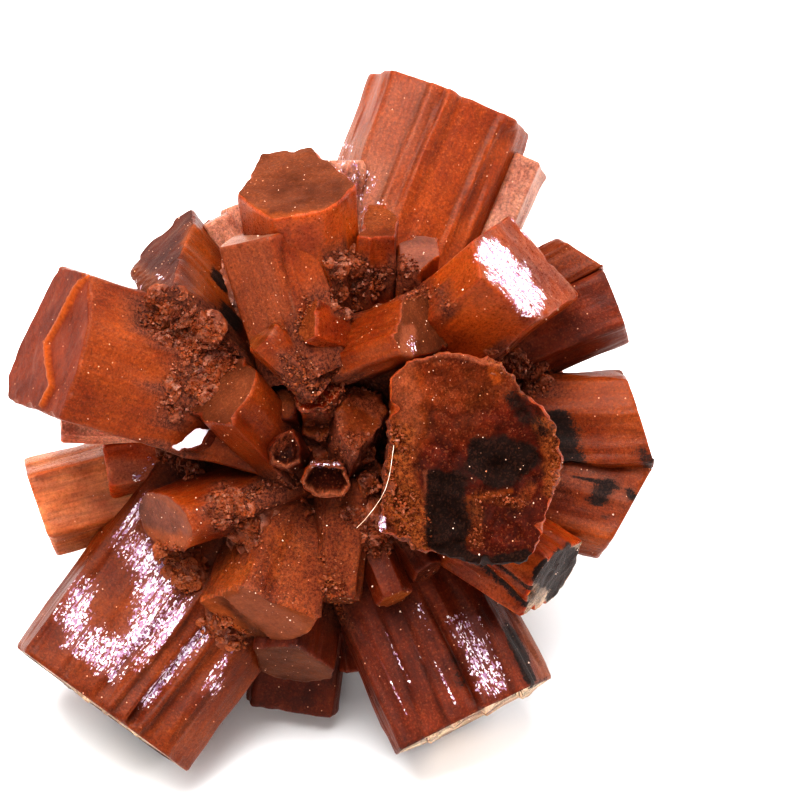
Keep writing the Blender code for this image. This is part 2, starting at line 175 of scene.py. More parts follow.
LARGE_CRYSTALS = (
    # the three that carry the front of the cluster
    Crystal("lower_left", (-22.9, -27.8, 3.0),
            ((10.7, -1.0), (9.8, 3.6), (-1.5, 5.6), (-8.0, 4.0), (-10.6, 0.5), (-8.0, -7.5), (2.0, -9.0),
             (9.5, -7.0)),
            root=(-1.7, 1.3, 0.0), taper=1.0),
    Crystal("lower_right", (14.1, -28.5, 3.0),
            ((8.8, -0.5), (7.8, 4.2), (-1.0, 5.6), (-6.6, 3.8), (-8.9, -1.0), (-6.5, -7.5), (4.0, -9.5)),
            taper=0.88),
    Crystal("lower_middle", (-4.1, -27.9, -6.0),
            ((4.8, -1.0), (4.2, 2.6), (-4.2, 2.6), (-4.8, -1.0), (-3.0, -5.0), (3.0, -5.0)), taper=0.85),
    # the ring of large ones, clockwise from there
    Crystal("lower_gap", (1.9, -24.0, -5.0), hexagon(4.4, 6.0, 15), root=(0.5, -8.0, -3.0), taper=1.0),
    Crystal("left_lower", (-29.3, -7.9, -3.0),
            ((5.4, -0.8), (3.6, 3.8), (-2.8, 4.4), (-5.2, 1.0), (-4.4, -4.2), (3.2, -4.8)),
            taper=0.95, facing=(-0.93, -0.33, 0.0)),
    Crystal("left_step", (-22.6, -3.6, 1.0), hexagon(8.0, 7.0), taper=0.9),
    Crystal("mirror_chip", (-13.8, -0.8, 16.0),
            ((-15.4, -1.6), (-14.0, -0.2), (-13.2, 0.4), (-11.5, 0.3), (-11.9, -0.7), (-12.5, -1.4),
             (-13.5, -1.9), (-14.7, -1.7)), seen=True,
            root=(-11.0, -1.5, 8.0), taper=1.0, facing=(0.0, 0.1, 1.0)),
    Crystal("left_chip", (-26.9, 0.2, 4.5), hexagon(3.2, 3.0), root=(-12.0, 0.0, 3.0), taper=1.0),
    Crystal("big_left", (-28.0, 8.6, 11.7),
            ((-26.8, 16.4), (-23.6, 15.3), (-23.3, 10.5), (-24.4, 5.8), (-26.2, 1.0), (-32.1, 3.1),
             (-32.1, 5.5), (-30.8, 8.7)), seen=True, taper=0.9, facing=(-0.86, 0.265, 0.43)),
    Crystal("upper_left", (-16.6, 17.5, 8.0),
            ((-20.2, 15.5), (-19.2, 17.5), (-17.9, 19.0), (-16.6, 19.7), (-15.6, 21.2), (-13.8, 22.1),
             (-13.5, 20.5), (-14.4, 18.0), (-15.2, 14.0), (-16.7, 13.0), (-19.2, 14.0)), seen=True),
    Crystal("behind_left_bud", (-11.6, 21.0, 4.0), hexagon(3.6, 3.4, 15), root=(-7.0, 12.0, 3.0), taper=1.0),
    Crystal("behind_beige_bud", (-9.8, 22.4, 1.0), hexagon(3.2, 3.0), root=(-6.0, 12.0, 1.0), taper=1.0),
    Crystal("top_middle", (-3.2, 24.0, 16.0),
            ((-9.2, 23.0), (-8.0, 25.2), (-7.0, 27.3), (-4.7, 27.6), (-2.0, 27.9), (-0.7, 27.0), (2.5, 24.0),
             (0.8, 22.2), (-0.7, 21.2), (-5.7, 20.4), (-7.4, 21.5)), seen=True, taper=0.8),
    Crystal("big_top", (12.4, 32.6, -6.0),
            ((-9.5, 0.0), (-7.2, 6.0), (-1.0, 6.8), (6.0, 4.5), (8.1, 0.0), (6.0, -6.0), (-5.5, -6.5)),
            taper=0.95),
    Crystal("top_slab", (19.3, 26.7, -7.5), hexagon(5.4, 9.0), root=(7.0, -1.5, -2.0), taper=0.95),
    Crystal("top_druse", (1.0, 26.9, 2.0), hexagon(5.0, 5.0, 15), root=(1.0, 8.0, 1.0), taper=1.0),
    Crystal("right_upper", (19.0, 15.7, 14.0),
            ((13.7, 18.5), (17.6, 21.4), (24.6, 13.3), (20.3, 10.8), (16.8, 13.1), (14.6, 14.9)), seen=True,
            taper=0.85),
    Crystal("right_middle", (28.1, 12.8, 2.0),
            ((-4.4, 0.0), (-3.0, 4.0), (2.4, 4.6), (4.4, 1.0), (3.6, -5.0), (-2.4, -6.0)),
            root=(0.0, 1.0, 0.0), taper=0.9, facing=(0.93, 0.36, -0.02)),
    Crystal("right_middle_shoulder", (24.4, 17.9, 1.0),
            ((-2.0, 0.0), (-1.4, 3.6), (2.7, 4.0), (3.3, -4.0), (-1.2, -5.0)),
            root=(0.0, 4.5, 0.0), taper=1.0, facing=(0.55, 0.83, -0.02)),
    Crystal("right_low_above", (30.6, 0.8, 3.0),
            ((-5.3, -1.5), (-4.4, 2.6), (-1.0, 4.2), (4.2, 4.0), (4.5, 1.0), (4.0, -5.0), (-3.5, -6.0)),
            root=(0.0, 0.4, 0.0), taper=0.95, facing=(0.957, 0.29, -0.02)),
    Crystal("right_low_below", (29.0, -8.6, 1.5),
            ((-5.8, 0.0), (-5.5, 3.8), (2.6, 4.6), (4.9, 1.0), (4.2, -5.0), (-3.5, -6.0)),
            root=(0.0, -1.0, 0.0), taper=0.95, facing=(0.87, -0.49, -0.02)),
    Crystal("right_foot", (22.0, -14.4, 8.0),
            ((25.0, -10.8), (24.3, -13.4), (22.8, -15.9), (21.3, -17.3), (18.5, -18.7), (19.5, -15.4),
             (21.3, -12.3), (23.3, -11.2)), seen=True, taper=0.9),
    # large ones that point at the display side
    Crystal("front_right", (13.8, -2.4, 20.0),
            ((5.9, 5.4), (7.8, 6.9), (11.7, 7.8), (16.5, 6.6), (18.7, 3.7), (20.9, 2.3), (22.4, -1.5),
             (22.9, -2.8), (21.4, -7.0), (20.6, -10.4), (19.1, -12.8), (14.4, -13.2), (8.8, -11.6),
             (4.9, -9.4), (5.2, -5.8), (5.8, -1.4)), seen=True,
            root=(12.0, -2.5, 0.0), taper=0.8),
    Crystal("upper_middle", (-6.6, 19.1, 17.5),
            ((-4.7, -0.5), (0.6, 3.0), (4.8, 0.5), (3.5, -5.5), (-3.0, -5.5)),
            root=(-2.2, 5.5, 15.0), taper=1.0),
    Crystal("centre_left", (-10.9, 4.0, 16.0),
            ((-14.5, 3.2), (-13.2, 5.5), (-11.7, 7.2), (-8.7, 7.2), (-7.0, 5.8), (-7.7, 3.5), (-9.2, 1.8),
             (-9.4, 0.5), (-12.4, 0.8)), seen=True, root=(-2.5, -5.5, 4.0), taper=0.85),
    Crystal("left_low", (-16.3, -8.8, 12.0),
            ((-19.3, -7.5), (-18.2, -5.6), (-16.0, -6.2), (-14.0, -7.8), (-13.2, -10.0), (-14.2, -11.8),
             (-16.7, -11.8), (-18.6, -10.2)), seen=True, root=(0.0, -3.0, 2.0), taper=1.0),
    Crystal("middle_low", (-6.9, -18.2, 11.5),
            ((-13.4, -16.9), (-10.3, -15.8), (-8.2, -15.1), (-5.2, -16.8), (-1.3, -18.2), (-2.1, -20.0),
             (-5.2, -21.5), (-8.5, -20.2), (-11.7, -18.3)), seen=True, taper=0.85),
    Crystal("middle_low_right", (0.6, -16.6, 10.0),
            ((-2.4, 0.0), (-1.6, 2.2), (1.6, 2.2), (2.4, 0.0), (1.5, -4.0), (-1.5, -4.0)),
            root=(1.4, -5.0, 8.5), taper=1.3),
    Crystal("lower_shelf", (-3.7, -23.3, 5.5),
            ((-7.7, -21.5), (-3.4, -21.0), (0.2, -23.8), (0.1, -24.8), (-2.6, -25.3), (-5.7, -24.8),
             (-7.4, -24.0)), seen=True, root=(0.0, 0.0, -5.0), taper=0.85),
)

SMALL_CRYSTALS = (
    Crystal("small_low", (6.3, -16.6, 9.0), hexagon(4.2, 3.5), root=(2.0, -6.0, 5.0), taper=1.0),
    Crystal("small_low_dark", (9.6, -14.0, 9.0), hexagon(3.8, 3.5), root=(4.0, -6.0, 5.0), taper=1.0),
    Crystal("bud_top", (4.7, 20.7, 13.4),
            ((3.5, 22.3), (5.4, 22.3), (6.8, 20.7), (6.3, 18.9), (4.0, 18.7), (2.6, 19.0), (3.0, 21.0)),
            seen=True, root=(4.0, 8.0, 5.0), taper=1.0),
    Crystal("bud_top_right", (8.8, 17.6, 12.0),
            ((6.4, 18.4), (7.9, 19.3), (10.6, 19.2), (10.9, 17.2), (9.0, 15.6), (7.0, 16.0)),
            seen=True, root=(7.0, 8.0, 5.0), taper=1.0),
    Crystal("bud_upper", (-2.1, 10.7, 19.0),
            ((-3.0, 11.2), (-2.0, 12.3), (-1.3, 12.8), (-1.2, 11.0), (-1.3, 9.2), (-2.5, 8.5), (-3.1, 9.5)),
            seen=True, root=(2.5, 9.0, 13.0), taper=1.0),
    Crystal("bud_left", (-6.7, 9.2, 17.5),
            ((-2.1, 0.0), (-1.6, 1.6), (0.2, 2.0), (1.9, 0.8), (1.9, -1.8), (-1.0, -2.4)),
            root=(-1.2, 4.2, 15.0), taper=1.0),
    Crystal("bar", (9.0, 10.4, 17.5),
            ((7.0, 13.0), (8.8, 13.8), (11.3, 13.2), (12.3, 10.5), (11.3, 8.0), (8.0, 7.0), (6.7, 7.6),
             (6.1, 9.3), (6.6, 10.8)), seen=True, root=(1.0, 7.5, 10.5), taper=1.0),
    Crystal("vee", (2.9, 1.6, 14.0),
            ((0.8, 4.2), (3.0, 4.6), (5.3, 3.4), (5.8, 1.8), (4.6, 0.3), (2.5, -2.3), (0.9, -0.6),
             (0.6, 1.8)), seen=True, root=(1.0, -4.0, 5.0), taper=1.0),
    Crystal("dark_hexagon", (-4.5, -1.9, 15.0),
            ((-6.4, -2.0), (-5.7, -0.4), (-3.6, 0.2), (-2.8, -1.5), (-2.9, -3.2), (-4.2, -3.8), (-5.9, -3.3)),
            seen=True, root=(-3.0, -3.0, 4.0), taper=1.0),
    Crystal("hollow_hexagon", (-0.3, -4.9, 14.5),
            ((-2.9, -5.0), (-2.4, -3.7), (-1.4, -3.2), (0.8, -3.4), (2.0, -4.6), (2.3, -5.4), (1.3, -6.6),
             (-1.6, -6.5), (-2.6, -5.7)), seen=True, root=(-0.3, -4.0, 8.0), taper=0.9),
    Crystal("bud_dark", (-4.5, 2.5, 14.0), ((-5.5, 4.0), (-3.4, 3.8), (-3.4, 1.2), (-5.1, 0.9), (-5.6, 2.5)),
            seen=True, root=(-3.0, 0.0, 5.0), taper=1.0),
    Crystal("bud_right", (3.8, -5.4, 12.0), ((2.5, -4.8), (4.6, -4.6), (5.0, -5.7), (3.0, -6.7)),
            seen=True, root=(2.5, -3.0, 5.0), taper=1.0),
    Crystal("bud_flat", (-1.3, 1.2, 11.5), ((-3.0, 2.8), (0.3, 3.2), (0.6, 1.0), (-0.7, -1.0), (-2.9, -0.5)),
            seen=True, root=(-0.5, -1.0, 4.0), taper=1.0),
    Crystal("bud_orange", (-1.2, 4.4, 14.6),
            ((-3.4, 5.0), (-1.2, 6.2), (1.0, 5.8), (1.4, 4.0), (-0.4, 2.2), (-3.0, 2.0)), seen=True,
            root=(-0.5, 0.0, 5.0), taper=1.0),
)

# the sides that the display side hides: the feet first, then the rest
BACK_CRYSTALS = (
    Crystal("foot", (1.0, -16.13, -19.23), hexagon(9.0, 8.0), root=(1.0, 0.0, 0.0), taper=0.8),
    Crystal("back_foot_left", (-11.2, -5.6, -24.2), hexagon(11.0, 9.0)),
    Crystal("back_foot_right", (11.3, -3.8, -25.4), hexagon(11.0, 10.0)),
    Crystal("back_top", (6.0, 19.0, -20.0), hexagon(14.0, 12.0)),
    Crystal("back_left", (-19.0, 4.0, -21.0), hexagon(13.0, 11.0)),
    Crystal("back_upper_left", (-13.0, 17.0, -18.0), hexagon(12.0, 11.0)),
    Crystal("back_right", (19.5, 6.5, -19.0), hexagon(11.0, 11.0)),
    Crystal("back_middle", (-1.0, 7.0, -29.0), hexagon(15.0, 13.0)),
    Crystal("back_low_right", (19.0, -8.0, -17.0), hexagon(10.0, 9.0)),
    Crystal("back_low_left", (-17.0, -14.0, -16.0), hexagon(10.0, 9.0)),
    Crystal("back_mid_right", (11.5, 10.5, -25.0), hexagon(8.5, 8.0, 10)),
    Crystal("back_mid_left", (-10.0, 12.0, -25.0), hexagon(8.5, 8.0, 20)),
    Crystal("back_low_middle", (1.5, -5.5, -23.5), hexagon(8.0, 8.0)),
    Crystal("back_crown", (-3.5, 22.5, -12.0), hexagon(8.0, 8.0, 15)),
    Crystal("back_crown_left", (-13.2, 17.2, -6.5), hexagon(8.0, 7.0, 10)),
    Crystal("back_shoulder", (21.5, 14.3, -9.0), hexagon(8.0, 7.5, 20)),
    Crystal("back_top_right", (15.0, 20.5, -15.0), hexagon(8.0, 7.0)),
    Crystal("back_side_right", (25.0, -1.0, -10.0), hexagon(8.0, 7.0, 25)),
    Crystal("back_side_left", (-24.0, -6.5, -12.0), hexagon(7.0, 6.5)),
    Crystal("back_upper_side", (-23.0, 9.0, -7.0), hexagon(9.0, 8.0, 10)),
    Crystal("back_under_left", (-7.5, -14.5, -15.0), hexagon(7.0, 6.0)),
    Crystal("back_under_right", (11.0, -15.0, -14.0), hexagon(7.0, 7.0, 15)),
)

# lumps of fine crust in the clefts: name, middle and radius
CRUST_LUMPS = (
    ("heart", (0.0, 0.0, 0.0), 9.0),
    ("upper_left", (-12.0, 8.0, 4.0), 6.5),
    ("upper", (-9.5, 12.5, 4.0), 5.0),
    ("top", (3.0, 12.5, 7.5), 4.5),
    ("lower_left", (-14.0, -13.3, 4.6), 3.0),
    ("lower", (-10.8, -19.0, 4.5), 3.2),
    ("left", (-8.0, -7.5, 7.0), 4.0),
    ("lower_right", (3.5, -9.0, 8.0), 3.2),
    ("right", (14.0, 4.0, 6.0), 3.5),
    ("back", (0.0, 3.0, -8.0), 8.5),
    ("back_left", (-8.5, -2.0, -7.0), 5.5),
    ("back_right", (8.5, 1.0, -8.0), 5.5),
)


class Heap(NamedTuple):
    """Crust heaped on the prisms along a line of display (x, y) points."""

    name: str
    trail: tuple
    width: float              # how far it reaches from the line
    height: float             # how high it stands on what is under it
    warm: float = 0.0         # how golden its crust is


HEAPS = (
    Heap("upper_left", ((-16.4, 11.6), (-13.6, 9.8), (-11.4, 7.4)), 2.5, 0.9),
    Heap("left", ((-13.2, 8.4), (-13.2, 4.4), (-15.2, 2.8)), 2.1, 0.75),
    Heap("top", ((1.2, 16.4), (3.4, 14.2), (1.6, 12.8)), 1.6, 0.75),
    Heap("top_right", ((5.2, 15.0), (7.6, 16.2)), 1.1, 0.5),
    Heap("centre", ((-1.2, 5.4), (1.2, 4.6), (4.4, 4.2)), 1.0, 0.4),
    Heap("low_left", ((-10.2, -7.0), (-8.6, -9.8)), 2.0, 0.7, 0.1),
    Heap("splinters", ((-16.2, -12.4), (-14.4, -14.6)), 1.5, 0.5, 0.5),
    Heap("low", ((-11.8, -19.2), (-9.2, -20.6)), 1.3, 0.7, 0.5),
    Heap("golden", ((-0.6, -13.6), (0.4, -17.4)), 1.5, 0.4, 0.35),
    Heap("above_left_low", ((-16.4, -2.4), (-14.0, -3.6)), 1.2, 0.6),
    Heap("right", ((17.0, 6.8), (20.6, 4.8)), 1.6, 0.7),
    Heap("heart_middle", ((-3.0, 5.4), (0.0, 3.0), (0.2, -1.6)), 2.2, 0.25, 0.2),
    Heap("heart_low_left", ((-4.6, -5.4), (-7.6, -6.8)), 1.3, 0.4),
    Heap("bar_top", ((7.4, 13.6), (9.8, 13.4), (11.6, 12.2)), 0.9, 0.25, 0.3),
    Heap("bud_rims", ((-3.2, 9.6), (-2.2, 12.6), (-1.0, 12.8)), 0.7, 0.2, 0.3),
    Heap("heart_right", ((3.6, -1.6), (4.6, -6.0)), 1.3, 0.6),
    Heap("heart_low", ((2.6, -8.8), (4.8, -11.4)), 1.4, 0.6),
    Heap("front_left", ((6.0, -0.8), (6.4, -5.6), (8.2, -10.0)), 1.7, 0.3, 0.25),
    Heap("front_low", ((14.0, -6.8), (14.2, -11.0)), 0.8, 0.2, 0.2),
    Heap("front_low_right", ((15.2, -6.2), (18.6, -7.0)), 0.5, 0.2, 0.2),
    Heap("front_rim", ((21.4, 0.4), (22.2, -3.0), (21.6, -6.0)), 0.5, 0.25, 0.4),
)


class Stroke(NamedTuple):
    """A mark along a line of display (x, y) points, fading out at its width.

    relief raises or sinks the surface by amount millimetres, and ledge steps it
    down by that much on the left of the line, with painted shadow at its foot.
    The other kinds paint: oxide is the black coat, also used once as the painted
    shadow of a cleft; gleam the mirror flecks, painted reflections of a light;
    glow the clear orange, partly the colour of thin places and partly painted
    glow of light through them; frost the dull pink-brown, and grit the rough crust.
    """

    kind: str
    trail: tuple
    width: float
    amount: float = 1.0


class Habit(NamedTuple):
    """How one crystal grew and wore, in millimetres unless a share is said."""

    flank: str = "rust"
    end: str = "satin"
    rib: float = 0.12         # depth of the ribs that run along the prism
    rib_gap: float = 1.6      # spacing of those ribs
    rough: float = 0.03       # relief of the gritty film on the flanks
    ledge: float = 0.10       # height of the growth ledges on the flanks
    pits: float = 0.10        # share of the possible places that have a pit
    chips: float = 0.45       # depth of the chips along the end's edge
    end_relief: float = 0.10
    end_ledge: float = 0.04
    hollow: float = 0.0       # depth of a hollow end
    worn: float = 1.0         # how round the edges are, as a share of the usual
    shade: float = 0.0        # how much darker (above 0) or lighter the whole crystal is painted: partly its own tone, partly painted shade where darker and painted light where lighter, for how lit it looks
    strokes: tuple = ()


# the raised line down the middle of the big left prism's end
BIG_LEFT_RIDGE = (
    (-23.7, 15.1), (-24.8, 13.8), (-26.3, 10.9), (-27.8, 8.6), (-27.6, 6.6), (-27.1, 4.3), (-28.1, 2.5))

# Painted light and shade in these tables: each crystal's shade is partly painted shade (above 0) and painted
# light (below 0) for how lit it looks, the gleam strokes are painted reflections of mirroring facets, the
# glow strokes are partly painted glow of light through thin places, and one oxide stroke on the upper left
# prism is a painted shadow.
HABITS = {
    "lower_left": Habit(flank="rust", end="pale", rib=0.16, ledge=0.16, shade=0.28, strokes=(
        Stroke("gleam", ((-17.4, -13.4), (-17.8, -18.6)), 3.4, 1.28),
        Stroke("gleam", ((-25.2, -20.2), (-21.4, -23.2)), 2.5, 1.12),
        Stroke("gleam", ((-20.4, -10.4), (-18.8, -12.0)), 1.5, 1.0),
        Stroke("gleam", ((-20.3, -9.0), (-19.4, -8.0)), 0.8, 1.5),
        Stroke("gleam", ((-25.2, -15.0), (-24.2, -16.4)), 0.9, 1.1),
        Stroke("gleam", ((-26.8, -18.2), (-24.0, -18.4)), 1.0, 1.1),
        Stroke("gleam", ((-13.8, -16.4), (-17.4, -21.4)), 0.8, 1.1),
        Stroke("gleam", ((-18.0, -21.8), (-19.2, -23.8)), 0.7, 0.7),
        Stroke("gleam", ((-12.8, -20.4), (-18.4, -27.0)), 0.9, 1.25),
        Stroke("gleam", ((-10.7, -23.0), (-12.4, -26.6)), 1.2, 0.95),
        Stroke("ledge", ((-14.6, -15.6), (-19.3, -21.2), (-22.4, -24.9)), 4.0, 0.7),
        Stroke("ledge", ((-13.6, -17.8), (-21.6, -27.4)), 1.3, 0.6),
        Stroke("ledge", ((-12.0, -18.6), (-20.2, -28.4)), 1.2, 0.55),
        Stroke("ledge", ((-11.6, -21.2), (-18.6, -29.6)), 1.3, 0.6),
        Stroke("ledge", ((-10.2, -23.6), (-15.6, -30.2)), 1.6, 0.4),
        Stroke("relief", ((-15.1, -16.6), (-19.6, -22.0)), 0.7, -0.5),
        Stroke("relief", ((-12.9, -20.4), (-19.6, -28.6)), 0.6, -0.5),
        Stroke("oxide", ((-31.2, -22.0), (-24.4, -27.6), (-16.0, -33.4)), 0.55, 0.5),
        Stroke("relief", ((-19.0, -9.2), (-29.6, -21.6)), 0.4, -0.2),
    )),
    "lower_right": Habit(flank="garnet", end="pale", rib=0.30, rib_gap=1.3, ledge=0.15,
          pits=0.2, strokes=(
        Stroke("relief", ((9.3, -15.9), (12.1, -21.3), (14.0, -26.0)), 0.8, -0.8),
        Stroke("ledge", ((9.4, -30.4), (5.2, -18.0)), 1.8, 0.5),
        Stroke("ledge", ((11.6, -28.8), (6.8, -17.4)), 1.6, 0.5),
        Stroke("ledge", ((14.8, -27.4), (9.6, -16.4)), 2.4, 0.6),
        Stroke("ledge", ((18.4, -26.0), (12.6, -16.0)), 2.2, 0.6),
        Stroke("oxide", ((6.6, -31.9), (21.4, -24.8)), 0.5, 0.42),
        Stroke("gleam", ((13.4, -19.4), (15.8, -25.0)), 2.0, 0.95),
        Stroke("gleam", ((9.0, -18.6), (9.0, -20.4)), 1.1, 0.6),
        Stroke("gleam", ((5.3, -20.0), (7.8, -25.0)), 0.3, 0.8),
        Stroke("oxide", ((17.4, -19.0), (19.8, -24.6)), 0.9, 0.85),
        Stroke("frost", ((19.4, -19.0), (21.6, -24.0)), 1.4, 0.9),
        Stroke("gleam", ((8.0, -20.8), (9.4, -24.0)), 0.25, 1.0),
        Stroke("gleam", ((3.2, -19.6), (5.2, -23.6)), 0.22, 0.9),
        Stroke("gleam", ((10.6, -23.6), (12.4, -27.0)), 0.3, 0.9),
        Stroke("gleam", ((6.4, -26.0), (7.6, -28.6)), 0.3, 0.9),
        Stroke("oxide", ((12.0, -22.0), (13.0, -25.5)), 0.9, 0.5),
    )),
    "lower_middle": Habit(flank="garnet", end="satin", rib=0.2, shade=0.25),
    "lower_gap": Habit(flank="garnet", end="dark"),
    "left_lower": Habit(flank="honey", end="amber_end", rib=0.10, rib_gap=1.2, strokes=(
        Stroke("glow", ((-24.6, -9.4), (-27.0, -5.6)), 3.4, 0.2),
        Stroke("relief", ((-27.4, -8.2), (-27.3, -8.4)), 0.8, -0.35),
        Stroke("glow", ((-29.8, -4.0), (-24.0, -2.2)), 0.7, 0.5),
        Stroke("relief", ((-29.4, -5.0), (-23.0, -3.4)), 0.4, -0.2),
    )),
    "left_step": Habit(flank="amber", end="satin", shade=-1.0, strokes=(
        Stroke("gleam", ((-17.7, -2.7), (-17.2, -4.1)), 0.6, 1.5),
        Stroke("gleam", ((-20.2, -4.2), (-19.6, -4.8)), 0.6, 0.9),
        Stroke("frost", ((-21.6, -4.0), (-18.6, -5.0)), 2.2, 0.6),
    )),
    "mirror_chip": Habit(flank="garnet", end="silver", chips=0.1, end_relief=0.05, worn=0.3),
    "left_chip": Habit(flank="rose", end="rose_end", shade=-1.0),
    "big_left": Habit(flank="rust", end="red_end", rib=0.05, ledge=0.06, rough=0.02,
          shade=0.15, strokes=(
        Stroke("relief", BIG_LEFT_RIDGE, 0.30, 0.42),
        Stroke("glow", BIG_LEFT_RIDGE, 0.34, 0.6),
        Stroke("glow", ((-20.5, 9.0), (-19.5, 3.0)), 4.5, 0.15),
    )),
    "upper_left": Habit(flank="rust", end="umber_end", pits=0.3, shade=0.42, strokes=(
        # painted shadow: the black of the shaded cleft between this prism and the upper middle one
        Stroke("oxide", ((-11.0, 15.4), (-10.0, 12.4), (-9.2, 8.0)), 0.5, 1.2),
        Stroke("glow", ((-13.4, 19.0), (-12.0, 15.0), (-12.8, 12.6)), 1.8, 0.5),
        Stroke("frost", ((-19.4, 15.4), (-17.4, 13.6)), 1.6, 0.8),
        Stroke("grit", ((-19.4, 15.0), (-17.0, 13.4)), 1.4, 0.4),
        Stroke("gleam", ((-19.6, 14.4), (-19.0, 13.6)), 0.5, 0.9),
        Stroke("gleam", ((-17.0, 15.2), (-16.4, 15.0)), 0.4, 0.8),
    )),
    "behind_left_bud": Habit(flank="rose", end="rose_end"),
    "behind_beige_bud": Habit(flank="rose", end="beige_end"),
    "top_middle": Habit(flank="amber", end="satin", rib=0.05, shade=-0.12, strokes=(
        Stroke("glow", ((-8.4, 21.6), (-6.0, 20.2), (-1.0, 20.6)), 1.2, 0.25),
        Stroke("glow", ((2.0, 20.0), (0.6, 15.0)), 3.0, 0.3),
    )),
    "big_top": Habit(flank="rust", end="satin", rib=0.12, rib_gap=2.6, ledge=0.12,
          pits=0.15, shade=-0.3, strokes=(
        Stroke("relief", ((17.3, 29.7), (13.0, 20.1)), 1.0, -0.8),
        Stroke("ledge", ((4.4, 21.6), (9.6, 34.0)), 2.0, 0.6),
        Stroke("ledge", ((6.6, 22.4), (11.4, 33.4)), 1.6, 0.9),
        Stroke("ledge", ((11.6, 20.4), (16.4, 30.6)), 3.6, 0.7),
        Stroke("gleam", ((0.6, 28.2), (2.4, 25.4), (4.6, 22.4)), 2.4, 0.62),
        Stroke("frost", ((0.2, 29.0), (2.4, 25.4), (4.6, 22.4)), 3.2, 0.9),
        Stroke("frost", ((7.6, 33.0), (5.6, 27.0)), 3.4, 0.5),
        Stroke("relief", ((1.0, 26.6), (1.8, 25.6)), 1.2, -0.4),
        Stroke("gleam", ((9.0, 28.4), (8.0, 25.6)), 0.8, 0.3),
    )),
    "top_slab": Habit(flank="rose", end="rose_end", rib=0.2, rib_gap=1.0, shade=0.15),
    "top_druse": Habit(flank="rose", end="rose_end", rough=0.35, pits=0.6, ledge=0.3,
          shade=0.2, strokes=(
        Stroke("gleam", ((1.6, 26.4), (2.8, 22.6), (4.4, 21.4)), 2.2, 0.6),
    )),
    "right_upper": Habit(flank="amber", end="mirror", rib=0.06, ledge=0.08, shade=0.15, strokes=(
        Stroke("gleam", ((15.7, 17.2), (17.4, 15.2), (19.3, 12.9)), 2.3, 1.5),
        Stroke("gleam", ((17.9, 21.0), (20.8, 17.7)), 0.35, 1.3),
        Stroke("frost", ((20.8, 17.7), (24.2, 13.6)), 0.4, 0.8),
        Stroke("glow", ((12.0, 15.5), (14.5, 10.0)), 4.2, 0.3),
    )),
    "right_middle": Habit(flank="garnet", end="dark", rib=0.25, rib_gap=1.2, pits=0.25, chips=0.7),
    "right_middle_shoulder": Habit(flank="rust", end="dark", rib=0.2, rib_gap=1.2, shade=0.35),
    "right_low_above": Habit(flank="rust", end="dark", rib=0.12, ledge=0.2, shade=0.2, strokes=(
        Stroke("oxide", ((23.0, 1.4), (23.2, -5.4)), 1.2, 0.95),
        Stroke("relief", ((23.0, 1.4), (23.2, -5.4)), 1.2, -0.4),
        Stroke("oxide", ((30.6, -2.2), (31.6, -3.6)), 1.0, 0.55),
        Stroke("glow", ((25.6, 3.6), (29.4, 1.0)), 3.4, 0.15),
        Stroke("relief", ((20.0, -4.6), (29.8, -4.9)), 0.4, -0.4),
        Stroke("oxide", ((26.6, -5.8), (26.9, -6.1)), 0.9, 0.8),
    )),
    "right_low_below": Habit(flank="rust", end="dark", rib=0.15, ledge=0.2, shade=0.2, strokes=(
        Stroke("oxide", ((25.6, -5.0), (27.7, -5.2), (26.5, -7.2), (25.6, -5.0)), 0.45, 0.9),
        Stroke("oxide", ((29.4, -5.8), (29.8, -6.6)), 0.6, 0.7),
        Stroke("oxide", ((26.4, -8.4), (27.4, -8.6)), 0.5, 0.5),
        Stroke("frost", ((26.0, -4.6), (29.8, -7.0)), 1.6, 0.4),
        Stroke("glow", ((24.0, -10.0), (26.0, -10.6)), 2.0, 0.3),
    )),
    "right_foot": Habit(flank="amber", end="ashen", rib=0.3, rib_gap=0.9, chips=0.7,
          end_relief=0.4, strokes=(
        Stroke("oxide", ((21.4, -14.2), (23.4, -12.8)), 2.0, 1.0),
        Stroke("oxide", ((22.0, -17.0), (23.6, -15.0)), 1.2, 0.8),
        Stroke("relief", ((14.6, -13.6), (18.9, -17.6)), 0.6, -0.6),
        Stroke("oxide", ((14.6, -13.6), (18.9, -17.6)), 0.5, 0.7),
        Stroke("relief", ((15.6, -12.6), (19.6, -16.0)), 0.5, -0.4),
        Stroke("oxide", ((15.6, -12.6), (19.6, -16.0)), 0.4, 0.6),
        Stroke("glow", ((18.0, -12.0), (20.0, -13.4)), 1.6, 0.4),
    )),
    "front_right": Habit(flank="amber", end="broken", rib=0.2, rough=0.25, pits=0.4, chips=0.9,
          end_relief=0.7, end_ledge=0.3, strokes=(
        Stroke("glow", ((9.6, 5.0), (13.0, 4.8), (15.4, 4.4)), 3.6, 0.12),
        Stroke("glow", ((9.6, 2.2), (13.0, 1.0)), 3.4, 0.06),
        Stroke("glow", ((15.8, 6.0), (16.2, 5.0)), 0.7, 0.3),
        Stroke("relief", ((11.0, 5.4), (13.4, 3.0)), 3.0, -0.4),
        Stroke("oxide", ((14.8, -2.2), (18.4, -2.5), (16.2, -4.2)), 2.4, 0.85),
        Stroke("oxide", ((14.2, -3.4), (12.0, -5.6)), 1.5, 0.42),
        Stroke("oxide", ((17.4, 3.0), (20.2, -0.2)), 1.2, 0.24),
        Stroke("frost", ((9.4, -4.0), (9.0, -9.8), (10.2, -12.0)), 0.35, 0.5),
        Stroke("glow", ((13.2, -10.8), (13.0, -6.6), (17.6, -5.8)), 0.35, 0.3),
        Stroke("oxide", ((11.0, -5.8), (11.6, -10.8)), 2.7, 0.9),
        Stroke("oxide", ((11.5, -12.2), (15.5, -13.0), (19.2, -12.2)), 1.0, 0.9),
        Stroke("oxide", ((18.0, 3.4), (21.0, 0.4)), 1.6, 0.35),
